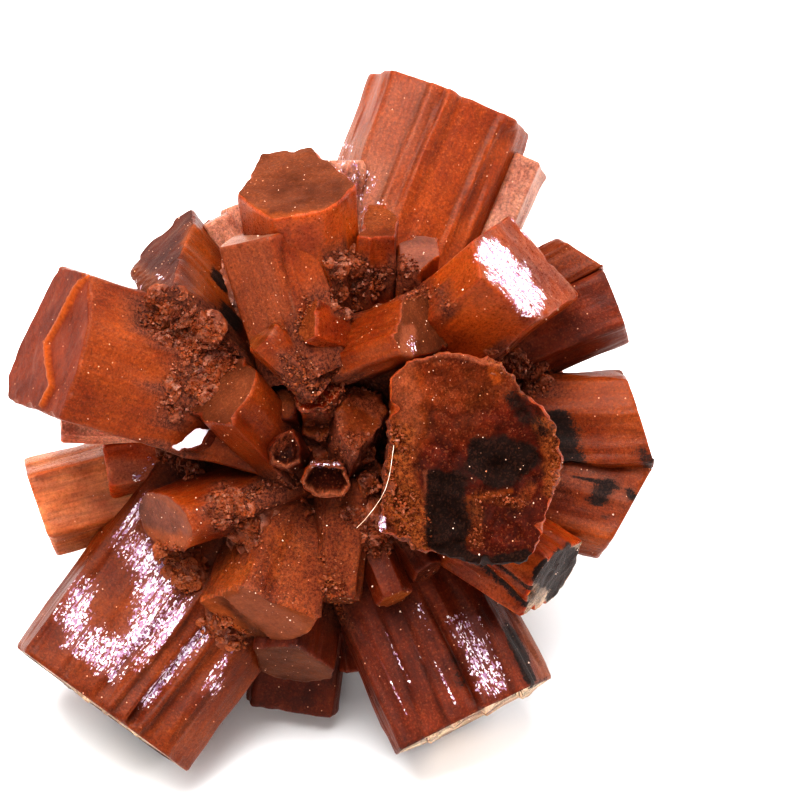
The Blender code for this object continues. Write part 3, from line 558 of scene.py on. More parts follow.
        Stroke("frost", ((6.6, 6.0), (7.6, 3.0), (7.4, -0.6)), 1.8, 0.4),
        Stroke("frost", ((7.4, 7.3), (12.3, 7.5), (16.4, 6.4)), 0.5, 0.7),
        Stroke("glow", ((6.8, 5.4), (7.6, 2.0), (7.8, -1.0)), 2.2, 0.16),
        Stroke("grit", ((6.4, -1.0), (6.6, -5.6), (8.6, -10.2)), 2.5, 1.0),
        Stroke("ledge", ((17.0, 6.6), (18.0, 2.8), (22.0, -1.8)), 2.4, 0.5),
        Stroke("ledge", ((11.8, -2.2), (9.6, -4.4), (9.2, -10.4)), 1.6, 0.5),
        Stroke("ledge", ((13.2, -10.6), (13.6, -6.0), (20.4, -4.8)), 1.6, 0.4),
        Stroke("glow", ((6.4, -3.0), (7.4, -8.4)), 1.8, 0.35),
        Stroke("grit", ((14.0, -7.0), (14.2, -10.8)), 1.0, 0.45),
        Stroke("grit", ((14.4, -6.2), (18.4, -7.0), (19.6, -5.4)), 0.8, 0.4),
        Stroke("grit", ((20.6, 0.6), (21.8, -2.4), (21.6, -5.6)), 1.2, 0.9),
        Stroke("glow", ((21.4, -1.8), (22.2, -4.6)), 0.9, 0.5),
        Stroke("relief", ((14.6, -1.6), (19.8, -3.0)), 3.2, -0.6),
        Stroke("relief", ((10.8, -6.2), (11.4, -10.6)), 2.6, -0.5),
        Stroke("relief", ((8.0, 7.4), (12.0, 7.7), (16.4, 6.4)), 0.7, 0.35),
        Stroke("gleam", ((5.0, -8.6), (5.2, -9.2)), 0.5, 1.5),
    )),
    "upper_middle": Habit(flank="rust", end="rose_end", rib=0.06, pits=0.9, ledge=0.08,
          shade=-0.1, strokes=(
        Stroke("ledge", ((-3.0, 9.0), (-4.4, 17.6)), 2.4, -0.35),
        Stroke("frost", ((-8.6, 17.6), (-6.0, 10.4)), 3.6, 0.45),
        Stroke("glow", ((-1.6, 17.4), (0.2, 10.4)), 2.6, 0.15),
        Stroke("frost", ((-3.9, 13.6), (-2.9, 9.6)), 0.25, 0.9),
    )),
    "centre_left": Habit(flank="rust", end="satin", rib=0.08),
    "left_low": Habit(flank="rust", end="grey_end", rib=0.08, worn=2.5, strokes=(
        Stroke("glow", ((-18.8, -10.4), (-16.4, -11.4), (-14.0, -11.2)), 1.5, 0.3),
        Stroke("frost", ((-19.2, -6.6), (-18.6, -6.1), (-16.4, -6.6), (-14.2, -8.4), (-13.6, -9.8)),
               0.4, 0.8),
    )),
    "middle_low": Habit(flank="granular", end="satin", rib=0.14, ledge=0.15, rough=0.16,
          pits=0.3, worn=6.0, strokes=(
        Stroke("frost", ((-8.4, -16.6), (-4.2, -19.4)), 1.9, 0.8),
        Stroke("ledge", ((-5.0, -21.3), (-8.4, -19.4), (-10.2, -16.4)), 2.2, 0.35),
        Stroke("glow", ((-12.4, -17.0), (-9.2, -19.4)), 1.2, 0.25),
        Stroke("glow", ((-10.0, -13.6), (-8.4, -9.4)), 3.0, 0.2),
        Stroke("grit", ((-12.4, -13.4), (-7.0, -9.0)), 0.7, 0.6),
        Stroke("grit", ((-9.4, -13.8), (-5.6, -9.6)), 0.4, 0.5),
        Stroke("grit", ((-3.4, -13.0), (-1.6, -16.6)), 1.4, 0.5),
        Stroke("glow", ((-11.8, -18.6), (-8.4, -20.6), (-5.0, -21.6), (-2.0, -20.2)), 0.9, 0.3),
        Stroke("glow", ((-4.0, -17.4), (-1.8, -19.0)), 1.6, 0.2),
    )),
    "middle_low_right": Habit(flank="granular", end="satin", rib=0.3, rib_gap=1.0,
          rough=0.2, pits=0.5, strokes=(
        Stroke("grit", ((0.4, -9.0), (1.0, -13.6)), 1.6, 0.6),
    )),
    "lower_shelf": Habit(flank="garnet", end="satin", shade=0.3),
    "bud_top": Habit(flank="amber", end="rust_end", rough=0.05, shade=0.1),
    "bud_top_right": Habit(flank="rust", end="grey_end", rough=0.05, shade=-0.3),
    "bud_upper": Habit(flank="amber", end="rust_end"),
    "bud_left": Habit(flank="rust", end="rust_end", strokes=(
        Stroke("frost", ((-7.4, 9.8), (-5.6, 9.6)), 0.5, 0.8),
    )),
    "bar": Habit(flank="rust", end="satin", rib=0.25, rib_gap=0.8, rough=0.1, strokes=(
        Stroke("frost", ((7.6, 9.6), (7.6, 7.8)), 1.0, 1.0),
        Stroke("gleam", ((7.8, 8.8), (8.0, 7.8)), 0.7, 0.7),
    )),
    "vee": Habit(flank="garnet", end="rust_end", rough=0.1, end_relief=0.4, end_ledge=0.15,
          strokes=(
        Stroke("grit", ((1.6, -0.6), (2.5, -1.6), (3.2, -0.6)), 0.9, 0.7),
        Stroke("grit", ((2.0, 3.6), (4.6, 2.6)), 1.3, 0.7),
        Stroke("frost", ((0.9, 1.6), (0.9, -0.6), (2.5, -2.2)), 0.35, 0.9),
    )),
    "dark_hexagon": Habit(flank="garnet", end="dark", hollow=0.8, end_relief=0.4,
          chips=0.4, strokes=(
        Stroke("grit", ((-5.4, -1.4), (-4.6, -0.6)), 1.0, 0.8),
        Stroke("frost", ((-6.1, -2.0), (-5.6, -3.1), (-4.2, -3.6), (-3.0, -3.0)), 0.35, 0.9),
    )),
    "hollow_hexagon": Habit(flank="rust", end="dark", hollow=2.2, end_relief=0.05,
          chips=0.3, strokes=(
        Stroke("gleam", ((-1.6, -3.5), (0.4, -3.6)), 0.7, 0.8),
        Stroke("frost", ((-2.6, -5.0), (-1.8, -3.6), (0.8, -3.7), (2.1, -5.2), (1.2, -6.3), (-1.5, -6.3),
                         (-2.6, -5.0)), 0.4, 1.0),
    )),
    "bud_dark": Habit(flank="garnet", end="rust_end", shade=0.2, end_relief=0.3),
    "bud_flat": Habit(flank="rust", end="rust_end", rough=0.15, end_relief=0.4),
    "bud_orange": Habit(flank="amber", end="amber_face", rough=0.15, end_relief=0.4, end_ledge=0.2),
    "small_low": Habit(flank="garnet", end="rust_end"),
    "small_low_dark": Habit(flank="garnet", end="dark"),
    "foot": Habit(flank="garnet", end="satin"),
    "back_middle": Habit(flank="amber", end="satin", rib=0.2),
    "back_left": Habit(flank="amber", end="rust_end", rib=0.25),
    "back_top": Habit(flank="rust", end="satin", rib=0.3, rib_gap=1.9),
    "back_mid_right": Habit(flank="amber", end="rose_end"),
    "back_low_right": Habit(flank="garnet", end="pale"),
}


PAINTS = ("oxide", "gleam", "glow", "frost", "grit")

# the relief of the crystals, in millimetres unless a count or a share is said
RIB_STRETCH = 22.0        # a rib runs on this much longer than wide before it changes
RIB_LEVELS = 2.6          # flat levels between the lowest and the highest rib
LEDGE_ACROSS = 3.4        # how wide the growth ledges of a flank are
LEDGE_ALONG = 9.0         # how far they run along the prism
BEND = (0.10, 5.0)        # how far a flank bends in and out, and over what length
FILM_GRAIN = 0.55         # width of the grains of the gritty film
FLANK_PITS = (0.30, 2.1, 0.42)        # depth, spacing and radius of the pits on a flank
END_PITS = (0.22, 1.9, 0.36)          # and on a free end
END_PIT_SHARE = 0.12      # share of the possible places of a free end that have a pit
RIM = (0.35, 1.15, 0.25)  # a pit's raised rim: height, middle and width, as shares of the pit
SHARP = 0.12              # a drawn ledge drops over twice this width
CELL_SHUFFLE = 7.3        # sets neighbouring cells far enough apart for their own random numbers
WEAR_REACH = 0.34         # how far from the edge the wear goes
WEAR = (0.16, 0.10, 0.9)  # how deep it goes, how much that varies, and over what length
CHIPPED = (0.18, 0.62)    # noise at which a chip starts and at which it is full
CHIP_SPACING = 1.5        # about how far apart the chips are
CORNER_POINTS = 4         # points round a corner of the outline
CORNER_SHARE = 0.3        # the most of a side that a rounded corner takes
EDGE_ROWS = (0.0, 0.10, 0.24, 0.45, 0.8)        # rings close to the free end, where it is worn
FINE_BELOW = 5.0          # a prism that reaches less than this from its middle has a finer mesh
FINEST = 0.6              # down to this share of the usual mesh steps
ROOT_HIDDEN = 4.5         # length at the heart that no mesh is needed for
CRUST_FROM, CRUST_FULL = 17.0, 12.0   # distances from the heart where crust starts and is thickest
FAR_TIP = 18.0            # a prism that ends further out than this carries crust near the heart
CRUSTED_RUN = (0.60, 0.95)            # shares of a prism's length where crust starts and is full
CRUST_LOBES = (0.9, 2.2)  # how ragged the edge of the crust is, and how wide its lobes are
HEAPS_ABOVE = -2.0        # heaps lie only on what is this far towards the display side
FACES_DISPLAY = -0.15     # paint goes on what looks to the display side by at least this much


def smooth(low, high, value):
    """0 at low, 1 at high and an even ease between them; low may be the larger."""
    share = min(max((value - low) / (high - low), 0.0), 1.0)
    return share * share * (3.0 - 2.0 * share)


def terrace(value, riser=0.16):
    """A smooth value turned into flat treads with short risers."""
    tread = math.floor(value)
    return tread + smooth(1.0 - riser, 1.0, value - tread)


def pit(point, spacing, share, radius):
    """Depth, 0 to 1, of the pits scattered over a surface; a low rim is below 0."""
    distances, places = noise.voronoi(point / spacing)
    if 0.5 + 0.5 * noise.cell(places[0] * CELL_SHUFFLE) > share:
        return 0.0
    reach = distances[0] * spacing / radius
    rim = RIM[0] * math.exp(-((reach - RIM[1]) / RIM[2]) ** 2)
    return max(0.0, 1.0 - reach * reach) - rim


def end_corners(crystal):
    """Corners of the free end, in the display frame."""
    tip = Vector(crystal.tip)
    axis = (tip - Vector(crystal.root)).normalized()
    facing = Vector(crystal.facing or axis)
    across = axis.cross(Vector((0.0, 0.0, 1.0))).normalized()
    toward = across.cross(axis)
    corners = []
    for first, second in crystal.outline:
        if crystal.seen:
            offset = Vector((first - tip.x, second - tip.y, 0.0))
            slide = Vector((0.0, 0.0, 1.0))
        else:
            offset = across * first + toward * second
            slide = axis
        corners.append(tip + offset - slide * (offset.dot(facing) / slide.dot(facing)))
    return corners


class Form:
    """The axes and outline that every part of one prism's mesh is worked out from."""

    def __init__(self, crystal, habit):
        self.crystal = crystal
        self.habit = habit
        self.tip = Vector(crystal.tip)
        self.back = Vector(crystal.root) - self.tip
        self.axis = -self.back.normalized()
        self.facing = Vector(crystal.facing or self.axis).normalized()
        self.across = self.axis.cross(Vector((0.0, 0.0, 1.0))).normalized()
        self.toward = self.across.cross(self.axis)
        corners = end_corners(crystal)
        self.middle = sum(corners, Vector()) / len(corners)
        arms = [corner - self.middle for corner in corners]
        turn = sum((arms[i - 1].cross(arms[i]) for i in range(len(arms))), Vector())
        if turn.dot(self.facing) < 0.0:
            corners.reverse()
        self.corners = corners
        self.size = max((corner - self.middle).length for corner in corners)
        shuffled = random.Random(crystal.name)
        self.seed = Vector([shuffled.uniform(-60.0, 60.0) for _ in range(3)])

    def own(self, point):
        """A point in the prism's own axes, with z along the prism."""
        offset = point - self.tip
        return Vector((offset.dot(self.across), offset.dot(self.toward), offset.dot(self.axis)))


def rounded_outline(form, radius, step):
    """Points round the end's outline, with rounded corners, evenly spaced between them."""
    corners = form.corners
    count = len(corners)
    starts = []
    ends = []
    for place, corner in enumerate(corners):
        back = corners[place - 1] - corner
        ahead = corners[(place + 1) % count] - corner
        cut = min(radius, CORNER_SHARE * back.length, CORNER_SHARE * ahead.length)
        starts.append(corner + back.normalized() * cut)
        ends.append(corner + ahead.normalized() * cut)
    points = []
    for place, corner in enumerate(corners):
        for turn in range(CORNER_POINTS):
            share = turn / (CORNER_POINTS - 1)
            first = starts[place].lerp(corner, share)
            points.append(first.lerp(corner.lerp(ends[place], share), share))
        target = starts[(place + 1) % count]
        pieces = max(1, round((target - ends[place]).length / step))
        points.extend(ends[place].lerp(target, part / pieces) for part in range(1, pieces))
    return points


def outward(points, axis):
    """Unit directions square to an outline and to the prism's axis, away from the prism."""
    count = len(points)
    return [(points[(i + 1) % count] - points[i - 1]).cross(axis).normalized() for i in range(count)]


def trail_gap(x, y, trail):
    """Distance from a display point to a line of points."""
    nearest = 1e9
    for (ax, ay), (bx, by) in zip(trail, trail[1:]):
        run_x = bx - ax
        run_y = by - ay
        share = ((x - ax) * run_x + (y - ay) * run_y) / (run_x * run_x + run_y * run_y)
        share = min(max(share, 0.0), 1.0)
        nearest = min(nearest, math.hypot(x - ax - share * run_x, y - ay - share * run_y))
    return nearest


def ledges(habit, point):
    """Height of a prism's drawn ledges at a point, and how far it lies at the foot of one, where shadow is
    painted.

    A ledge drops sharply to the left of its line and sinks away slowly to the right.
    """
    height = 0.0
    foot = 0.0
    for stroke in habit.strokes:
        if stroke.kind != "ledge":
            continue
        gap = trail_gap(point.x, point.y, stroke.trail)
        if gap >= stroke.width:
            continue
        start, finish = stroke.trail[0], stroke.trail[-1]
        turn = (finish[0] - start[0]) * (point.y - start[1]) - (finish[1] - start[1]) * (point.x - start[0])
        side = math.copysign(gap, -turn) + 0.12 * noise.noise(point / 0.9)
        height += stroke.amount * smooth(-SHARP, SHARP, side) * (1.0 - max(side, 0.0) / stroke.width)
        foot = max(foot, smooth(0.12, -0.10, side) * smooth(-0.75, -0.25, side))
    return height, foot


def stroke_sum(habit, kind, point):
    """What a prism's strokes of one kind add up to at a point of its display side."""
    total = 0.0
    for stroke in habit.strokes:
        if stroke.kind != kind:
            continue
        gap = trail_gap(point.x, point.y, stroke.trail)
        if kind != "relief":
            place = point * 1.3 / stroke.width + Vector((stroke.width, 7.0, 3.0))
            gap += 0.3 * stroke.width * noise.noise(place)
        if gap < stroke.width:
            total += stroke.amount * smooth(0.0, 0.55, 1.0 - gap / stroke.width)
    return total


def flank_relief(form, section, point, along, normal):
    """How far a flank stands out, in millimetres, at a point that far from the end."""
    habit = form.habit
    lane = Vector((section.x, section.y, along / RIB_STRETCH)) + form.seed
    step = terrace(RIB_LEVELS * noise.noise(lane / habit.rib_gap), 0.22) / RIB_LEVELS
    height = habit.rib * (1.1 * step + 0.35 * noise.noise(lane * 3.1 / habit.rib_gap))
    own = Vector((section.x / LEDGE_ACROSS, section.y / LEDGE_ACROSS, along / LEDGE_ALONG)) + form.seed
    height += habit.ledge * terrace(2.2 * noise.noise(own) + 0.35 * noise.noise(own * 3.0))
    height += BEND[0] * noise.noise(point / BEND[1] + form.seed)
    height += habit.rough * noise.noise(point / FILM_GRAIN + form.seed)
    if habit.pits > 0.0:
        depth, spacing, radius = FLANK_PITS
        height -= depth * pit(point + form.seed, spacing, habit.pits, radius)
    crust = crust_share(form, point, along)
    if crust > 0.0:
        height += crust * (0.35 * noise.noise(point / 0.9) + 0.2 * noise.noise(point / 0.45) + 0.15)
    if normal.z > 0.05:
        height += stroke_sum(habit, "relief", point) + ledges(habit, point)[0]
    return height


def heap_share(point):
    """How much a point lies under one of the heaps of crust, 0 to 1."""
    share = 0.0
    for heap in HEAPS:
        reach = 1.6 * heap.width
        first, last = heap.trail[0], heap.trail[-1]
        if not min(first[0], last[0]) - reach < point.x < max(first[0], last[0]) + reach:
            continue
        gap = trail_gap(point.x, point.y, heap.trail)
        if gap < reach:
            share = max(share, smooth(reach, 0.9 * heap.width, gap))
    return share


def crust_share(form, point, along):
    """How much of the rough crust covers a flank: all of it down in the clefts."""
    run = along / form.back.length
    from_heart = (CRUST_FROM - point.length) / (CRUST_FROM - CRUST_FULL)
    deep = smooth(0.0, 1.0, from_heart) if form.tip.length > FAR_TIP else 0.0
    low = smooth(*CRUSTED_RUN, run)
    heaped = heap_share(point) if point.z > HEAPS_ABOVE else 0.0
    ragged, lobe = CRUST_LOBES
    edge = 0.5 + ragged * noise.noise(point / lobe)
    return smooth(0.35, 0.75, max(deep, low, heaped) * (0.55 + edge))


def end_wear(form, section, along):
    """How far the worn edge of the free end is set in, in millimetres."""
    habit = form.habit
    depth, varied, spacing = WEAR
    worn = depth + varied * noise.noise(section / spacing + form.seed)
    inset = worn * max(0.0, 1.0 - along / WEAR_REACH) ** 2
    chip = habit.chips * smooth(*CHIPPED, noise.noise(section / CHIP_SPACING + form.seed * 1.7))
    if chip > 0.0:
        inset += chip * max(0.0, 1.0 - along / (1.6 * chip + 0.2)) ** 2
    return inset


def paint(layers, vertex, form, point, normal, along=None):
    """Store a vertex's place in the prism's own axes and its painted marks."""
    vertex[layers["grown"]] = form.own(point) + form.seed
    grit = crust_share(form, point, along) if along is not None else 0.0
    for kind in PAINTS[:-1]:
        shown = normal.z > FACES_DISPLAY
        vertex[layers[kind]] = min(1.5, stroke_sum(form.habit, kind, point)) if shown else 0.0
    # painted shade: the shade value grows towards the heart on long prisms and towards the root on short
    # ones, and at the foot of each drawn ledge, where shade falls
    if form.tip.length > FAR_TIP:
        depth = smooth(21.0, 9.0, point.length)
    else:
        depth = smooth(0.1, 0.9, (along or 0.0) / 9.0)
    foot = ledges(form.habit, point)[1] if normal.z > 0.05 else 0.0
    vertex[layers["shade"]] = form.habit.shade + 0.35 * depth + 0.55 * foot
    if normal.z > FACES_DISPLAY:
        grit += stroke_sum(form.habit, "grit", point)
    vertex[layers["grit"]] = min(1.0, grit)


def paint_layers(bm):
    """The layers that a prism's mesh carries for its material to read."""
    layers = {"grown": bm.verts.layers.float_vector.new("grown")}
    for kind in (*PAINTS, "shade"):
        layers[kind] = bm.verts.layers.float.new(kind)
    return layers


def flank_rows(form, along_step):
    """Distances from the free end of a prism's rings of vertices."""
    length = form.back.length
    shown = length if form.crystal.root != (0.0, 0.0, 0.0) else length - ROOT_HIDDEN
    rows = list(EDGE_ROWS)
    steps = max(2, round((shown - rows[-1]) / along_step))
    rows.extend(rows[-1] + (shown - rows[-1]) * step / steps for step in range(1, steps + 1))
    return rows


def grow_flanks(bm, layers, form, outline, rows):
    """Rings of vertices along a prism and the faces between them; returns the end ring."""
    length = form.back.length
    sideways = outward(outline, form.axis)
    sections = [form.own(point) for point in outline]
    for section in sections:
        section.z = 0.0
    root = [form.middle + form.back + (point - form.middle) * form.crystal.taper for point in outline]
    rings = []
    for along in rows:
        ring = []
        for start, finish, normal, section in zip(outline, root, sideways, sections):
            point = start.lerp(finish, along / length)
            height = flank_relief(form, section, point, along, normal) - end_wear(form, section, along)
            vertex = bm.verts.new(point + normal * height)
            paint(layers, vertex, form, point, normal, along)
            ring.append(vertex)
        rings.append(ring)
    count = len(outline)
    for near, far in zip(rings, rings[1:]):
        for i in range(count):
            face = bm.faces.new((near[i], far[i], far[(i + 1) % count], near[(i + 1) % count]))
            face.smooth = True
    bm.faces.new(rings[-1])
    return rings[0]


def inside_points(loop, step):
    """Evenly spread points inside a flat loop, with each one's distance to the loop."""
    loop = np.array(loop)
    ahead = np.roll(loop, -1, axis=0)
    low = loop.min(axis=0)
    high = loop.max(axis=0)
    rows = np.arange(low[1], high[1], step * 0.866)
    spots = []
    for number, y in enumerate(rows):
        xs = np.arange(low[0] + 0.5 * step * (number % 2), high[0], step)
        spots.append(np.column_stack([xs, np.full(len(xs), y)]))
    spots = np.concatenate(spots)
    run = ahead - loop
    offset = spots[:, None, :] - loop[None, :, :]
    share = np.clip((offset * run).sum(axis=2) / (run * run).sum(axis=1), 0.0, 1.0)
    gaps = np.linalg.norm(offset - share[:, :, None] * run, axis=2).min(axis=1)
    above = (loop[:, 1] > spots[:, None, 1]) != (ahead[:, 1] > spots[:, None, 1])
    rise = np.where(np.abs(run[:, 1]) < 1e-9, 1e-9, run[:, 1])
    crossing = loop[:, 0] + offset[:, :, 1] * run[:, 0] / rise
    within = (above & (spots[:, None, 0] < crossing)).sum(axis=1) % 2 == 1
    kept = within & (gaps > 0.55 * step)
    return spots[kept], gaps[kept]


def end_relief(form, own, point, edge):
    """How far the free end stands out, in millimetres, at a point that far from its edge."""
    habit = form.habit
    seeded = point + form.seed
    height = habit.end_relief * (0.8 * noise.noise(seeded / 2.6) + 0.35 * noise.noise(seeded / 0.9))
    spread = Vector((own.x / 3.1, own.y / 3.1, 0.0)) + form.seed
    height += habit.end_ledge * terrace(2.0 * noise.noise(spread) + 0.3 * noise.noise(spread * 3.3))
    depth, spacing, radius = END_PITS
    height -= depth * pit(seeded, spacing, END_PIT_SHARE, radius)
    height *= smooth(0.0, 0.5, edge)
    if habit.hollow > 0.0:
        height -= habit.hollow * smooth(0.18, 0.60, edge)
    if form.facing.z > -0.1:
        height += (stroke_sum(habit, "relief", point) + ledges(habit, point)[0]) * smooth(0.0, 0.15, edge)
        gritty = stroke_sum(habit, "grit", point)
        height += gritty * (0.5 * noise.noise(point / 0.9) + 0.3 * noise.noise(point / 0.4) + 0.15)
    return height


def grow_end(bm, layers, form, ring, step):
    """Close the free end with an even mesh that carries its relief."""
    first = form.across
    second = form.facing.cross(first).normalized()
    first = second.cross(form.facing).normalized()
    loop = [((v.co - form.middle).dot(first), (v.co - form.middle).dot(second)) for v in ring]
    spots, edges = inside_points(loop, step)
    flat = [Vector(corner) for corner in loop] + [Vector(spot) for spot in spots]
    made = delaunay_2d_cdt(flat, [], [list(range(len(loop)))], 1, 1e-6)
    level = sum((v.co - form.middle).dot(form.facing) for v in ring) / len(ring)
    verts = []
    for place, sources in zip(made[0], made[3]):
        source = sources[0] if sources else None
        if source is not None and source < len(ring):
            verts.append(ring[source])
            continue
        edge = float(edges[source - len(ring)]) if source is not None else step
        point = form.middle + first * place.x + second * place.y + form.facing * level
        height = end_relief(form, form.own(point), point, edge)
        vertex = bm.verts.new(point + form.facing * height)
        paint(layers, vertex, form, point, form.facing)
        verts.append(vertex)
    for corners in made[2]:
        face = bm.faces.new([verts[corner] for corner in corners])
        face.smooth = True
        face.material_index = 1


def trim_floor(bm):
    """Cut off what is below the resting plane and close the cut."""
    geometry = bm.verts[:] + bm.edges[:] + bm.faces[:]
    cut = bmesh.ops.bisect_plane(
        bm, geom=geometry, plane_co=(0.0, 0.0, 0.0), plane_no=(0.0, 0.0, 1.0), clear_inner=True)
    rim = [item for item in cut["geom_cut"] if isinstance(item, bmesh.types.BMEdge)]
    if rim:
        bmesh.ops.edgenet_fill(bm, edges=rim, mat_nr=1)


def upright(bm):
    """Turn a display-frame mesh upright, in metres."""
    for vertex in bm.verts:
        vertex.co = (TO_ROW @ vertex.co + HEART) * MM


def add_piece(name, bm, materials):
    """Make an object of a mesh, as a piece that stands for the cluster's solid."""
    mesh = bpy.data.meshes.new(name)
    bm.to_mesh(mesh)
    bm.free()
    piece = bpy.data.objects.new(name, mesh)
    bpy.context.scene.collection.objects.link(piece)
    for material in materials:
        mesh.materials.append(material)
    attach(piece, BODY)
    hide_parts(NODE)
    return piece


def grow_crystal(crystal, settings):
    """One prism as a closed, detailed mesh with its flank and end materials."""
    coarse = 1.0
    habit = HABITS.get(crystal.name, Habit())
    form = Form(crystal, habit)
    small = min(1.0, form.size / FINE_BELOW)
    detail = coarse * max(FINEST, small) / MM
    radius = settings.edge_round * habit.worn * small / MM
    outline = rounded_outline(form, radius, settings.across_step * detail)
    bm = bmesh.new()
    layers = paint_layers(bm)
    ring = grow_flanks(bm, layers, form, outline, flank_rows(form, settings.along_step * detail))
    grow_end(bm, layers, form, ring, settings.end_step * detail)
    bmesh.ops.recalc_face_normals(bm, faces=bm.faces)
    upright(bm)
    if min(vertex.co.z for vertex in bm.verts) < 0.0:
        trim_floor(bm)
    materials = [look_material("grown", habit.flank, settings), look_material("end", habit.end, settings)]
    return add_piece(f"crystal_{crystal.name}", bm, materials)


# ---------------------------------------------------------------- materials

class Look(NamedTuple):
    """What one surface of the mineral shows. Sizes are millimetres."""

    deep: str                 # sRGB hex of the thick, dark parts
    bright: str               # sRGB hex of the thin, light parts
    roughness: float
    clear: float              # how much light goes in and scatters
    reach: float              # how far it scatters
    fibre: float              # contrast of the fibres, a share
    bands: tuple              # how fast the fibres change along x, y and z, per millimetre
    sand: float               # contrast of the fine grain, a share
    frost: float              # depth of the fine relief
    grit: tuple = ("33120A", "8A4A30")     # dark and light of its crust
    gloss: float = 0.15                    # how much the surface mirrors, where 0.5 is bare mineral


# how often the fibres repeat in a millimetre, across, deep and along the prism
ALONG_PRISM = (3.0, 3.0, 0.20)        # growth fibres, 0.3 mm wide and 5 mm long
ACROSS_END = (0.22, 2.4, 1.0)         # cleavage streaks, 0.4 mm wide and 4.5 mm long
ALL_WAYS = (0.9, 0.9, 0.9)            # mottling, 1.1 mm wide, with no direction

LOOKS = {
    # grown prism faces: glassy under a sandy film, with faint fibres along the prism
    "rust": Look("642509", "80390F", 0.36, 0.26, 1.0, 0.12, ALONG_PRISM, 0.36, 0.06),
    "amber": Look("66240A", "934010", 0.31, 0.45, 1.8, 0.08, ALONG_PRISM, 0.35, 0.05),
    "garnet": Look("451506", "6E2B10", 0.38, 0.20, 0.7, 0.16, ALONG_PRISM, 0.30, 0.08),
    "rose": Look("7E4431", "B5806A", 0.36, 0.40, 1.2, 0.12, ALONG_PRISM, 0.50, 0.08),
    # free ends: frosted by the many tiny twin edges that meet there
    "red_end": Look("5C2412", "7E3A24", 0.50, 0.20, 0.8, 0.10, ALL_WAYS, 0.25, 0.03, gloss=0.04),
    "umber_end": Look("481C0E", "66301E", 0.50, 0.20, 0.8, 0.10, ALL_WAYS, 0.25, 0.03, gloss=0.03),
    "grey_end": Look("52332A", "75483A", 0.50, 0.20, 0.8, 0.10, ALL_WAYS, 0.22, 0.03, gloss=0.04),
    "satin": Look("4A2413", "673822", 0.48, 0.20, 0.8, 0.10, ALL_WAYS, 0.22, 0.03, gloss=0.04),
    "rust_end": Look("5A270F", "79401F", 0.44, 0.25, 1.0, 0.10, ALL_WAYS, 0.35, 0.04, gloss=0.04),
    "amber_end": Look("7A3812", "A8622C", 0.40, 0.45, 1.6, 0.10, ALL_WAYS, 0.30, 0.04),
    "rose_end": Look("6E3E2B", "9C6C56", 0.44, 0.30, 1.0, 0.18, ALL_WAYS, 0.50, 0.07),
    "beige_end": Look("A5794F", "D8B68C", 0.46, 0.50, 1.4, 0.15, ALL_WAYS, 0.30, 0.05),
    "pale": Look("80573F", "DCC2A6", 0.48, 0.35, 0.9, 0.35, ACROSS_END, 0.50, 0.10),
    "amber_face": Look("4E1606", "7C2A08", 0.34, 0.60, 1.8, 0.10, ALL_WAYS, 0.30, 0.04, gloss=0.05),
    "dark": Look("2A0F08", "522212", 0.46, 0.15, 0.7, 0.20, ALL_WAYS, 0.55, 0.08, gloss=0.04),
    "mirror": Look("64260C", "8A3E14", 0.30, 0.35, 1.2, 0.18, ACROSS_END, 0.25, 0.03, gloss=0.08),
    "broken": Look("2C0D05", "561C0B", 0.34, 0.35, 1.2, 0.20, ALL_WAYS, 0.40, 0.12, ("3A1406", "98552B"),
                   gloss=0.05),
    "honey": Look("8A4626", "C07A50", 0.30, 0.50, 2.0, 0.30, ALONG_PRISM, 0.22, 0.05),
    "ashen": Look("3A2A22", "A48A74", 0.50, 0.25, 0.9, 0.40, ACROSS_END, 0.70, 0.14),
    "granular": Look("58220C", "82401A", 0.44, 0.30, 1.2, 0.12, ALONG_PRISM, 0.60, 0.12,
                     ("4E1C0C", "904A28")),
    # painted reflection: the mirror chip's small end facet is painted near white for the light it mirrors
    "silver": Look("9C8E98", "F0EAF0", 0.16, 0.05, 0.8, 0.45, ACROSS_END, 0.20, 0.03),
}


def add_node(tree, kind, inputs, output=0, **settings):
    """Add a node with its settings, link or set its inputs, and give back one of its outputs."""
    made = tree.nodes.new(f"ShaderNode{kind}")
    for name, value in settings.items():
        setattr(made, name, value)
    for name, value in inputs.items():
        if isinstance(value, bpy.types.NodeSocket):
            tree.links.new(value, made.inputs[name])
        else:
            made.inputs[name].default_value = value
    return made.outputs[output]


def blank_material(name):
    """A new material, its node tree and its shader."""
    material = bpy.data.materials.new(name)
    material.use_nodes = True
    return material, material.node_tree, material.node_tree.nodes["Principled BSDF"]


def link_surface(tree, shader, colour, roughness, height, depth):
    """Link the colour, the roughness and a relief of that depth in millimetres to the shader."""
    normal = add_node(tree, "Bump", {"Height": height, "Strength": 0.8, "Distance": depth * MM}, "Normal")
    for socket, value in (("Base Color", colour), ("Roughness", roughness), ("Normal", normal)):
        tree.links.new(value, shader.inputs[socket])


def set_surface(shader, values):
    """Set the shader's own sockets to what is the same all over the surface."""
    for socket, value in values.items():
        shader.inputs[socket].default_value = value


def light_inside(weight, reach):
    """Shader values for light that goes into iron-stained aragonite and comes out redder."""
    return {
        "IOR": ARAGONITE_IOR,
        "Subsurface Weight": weight,
        "Subsurface Radius": (1.0, 0.28, 0.10),
        "Subsurface Scale": reach * MM,
    }


ARAGONITE_IOR = 1.6

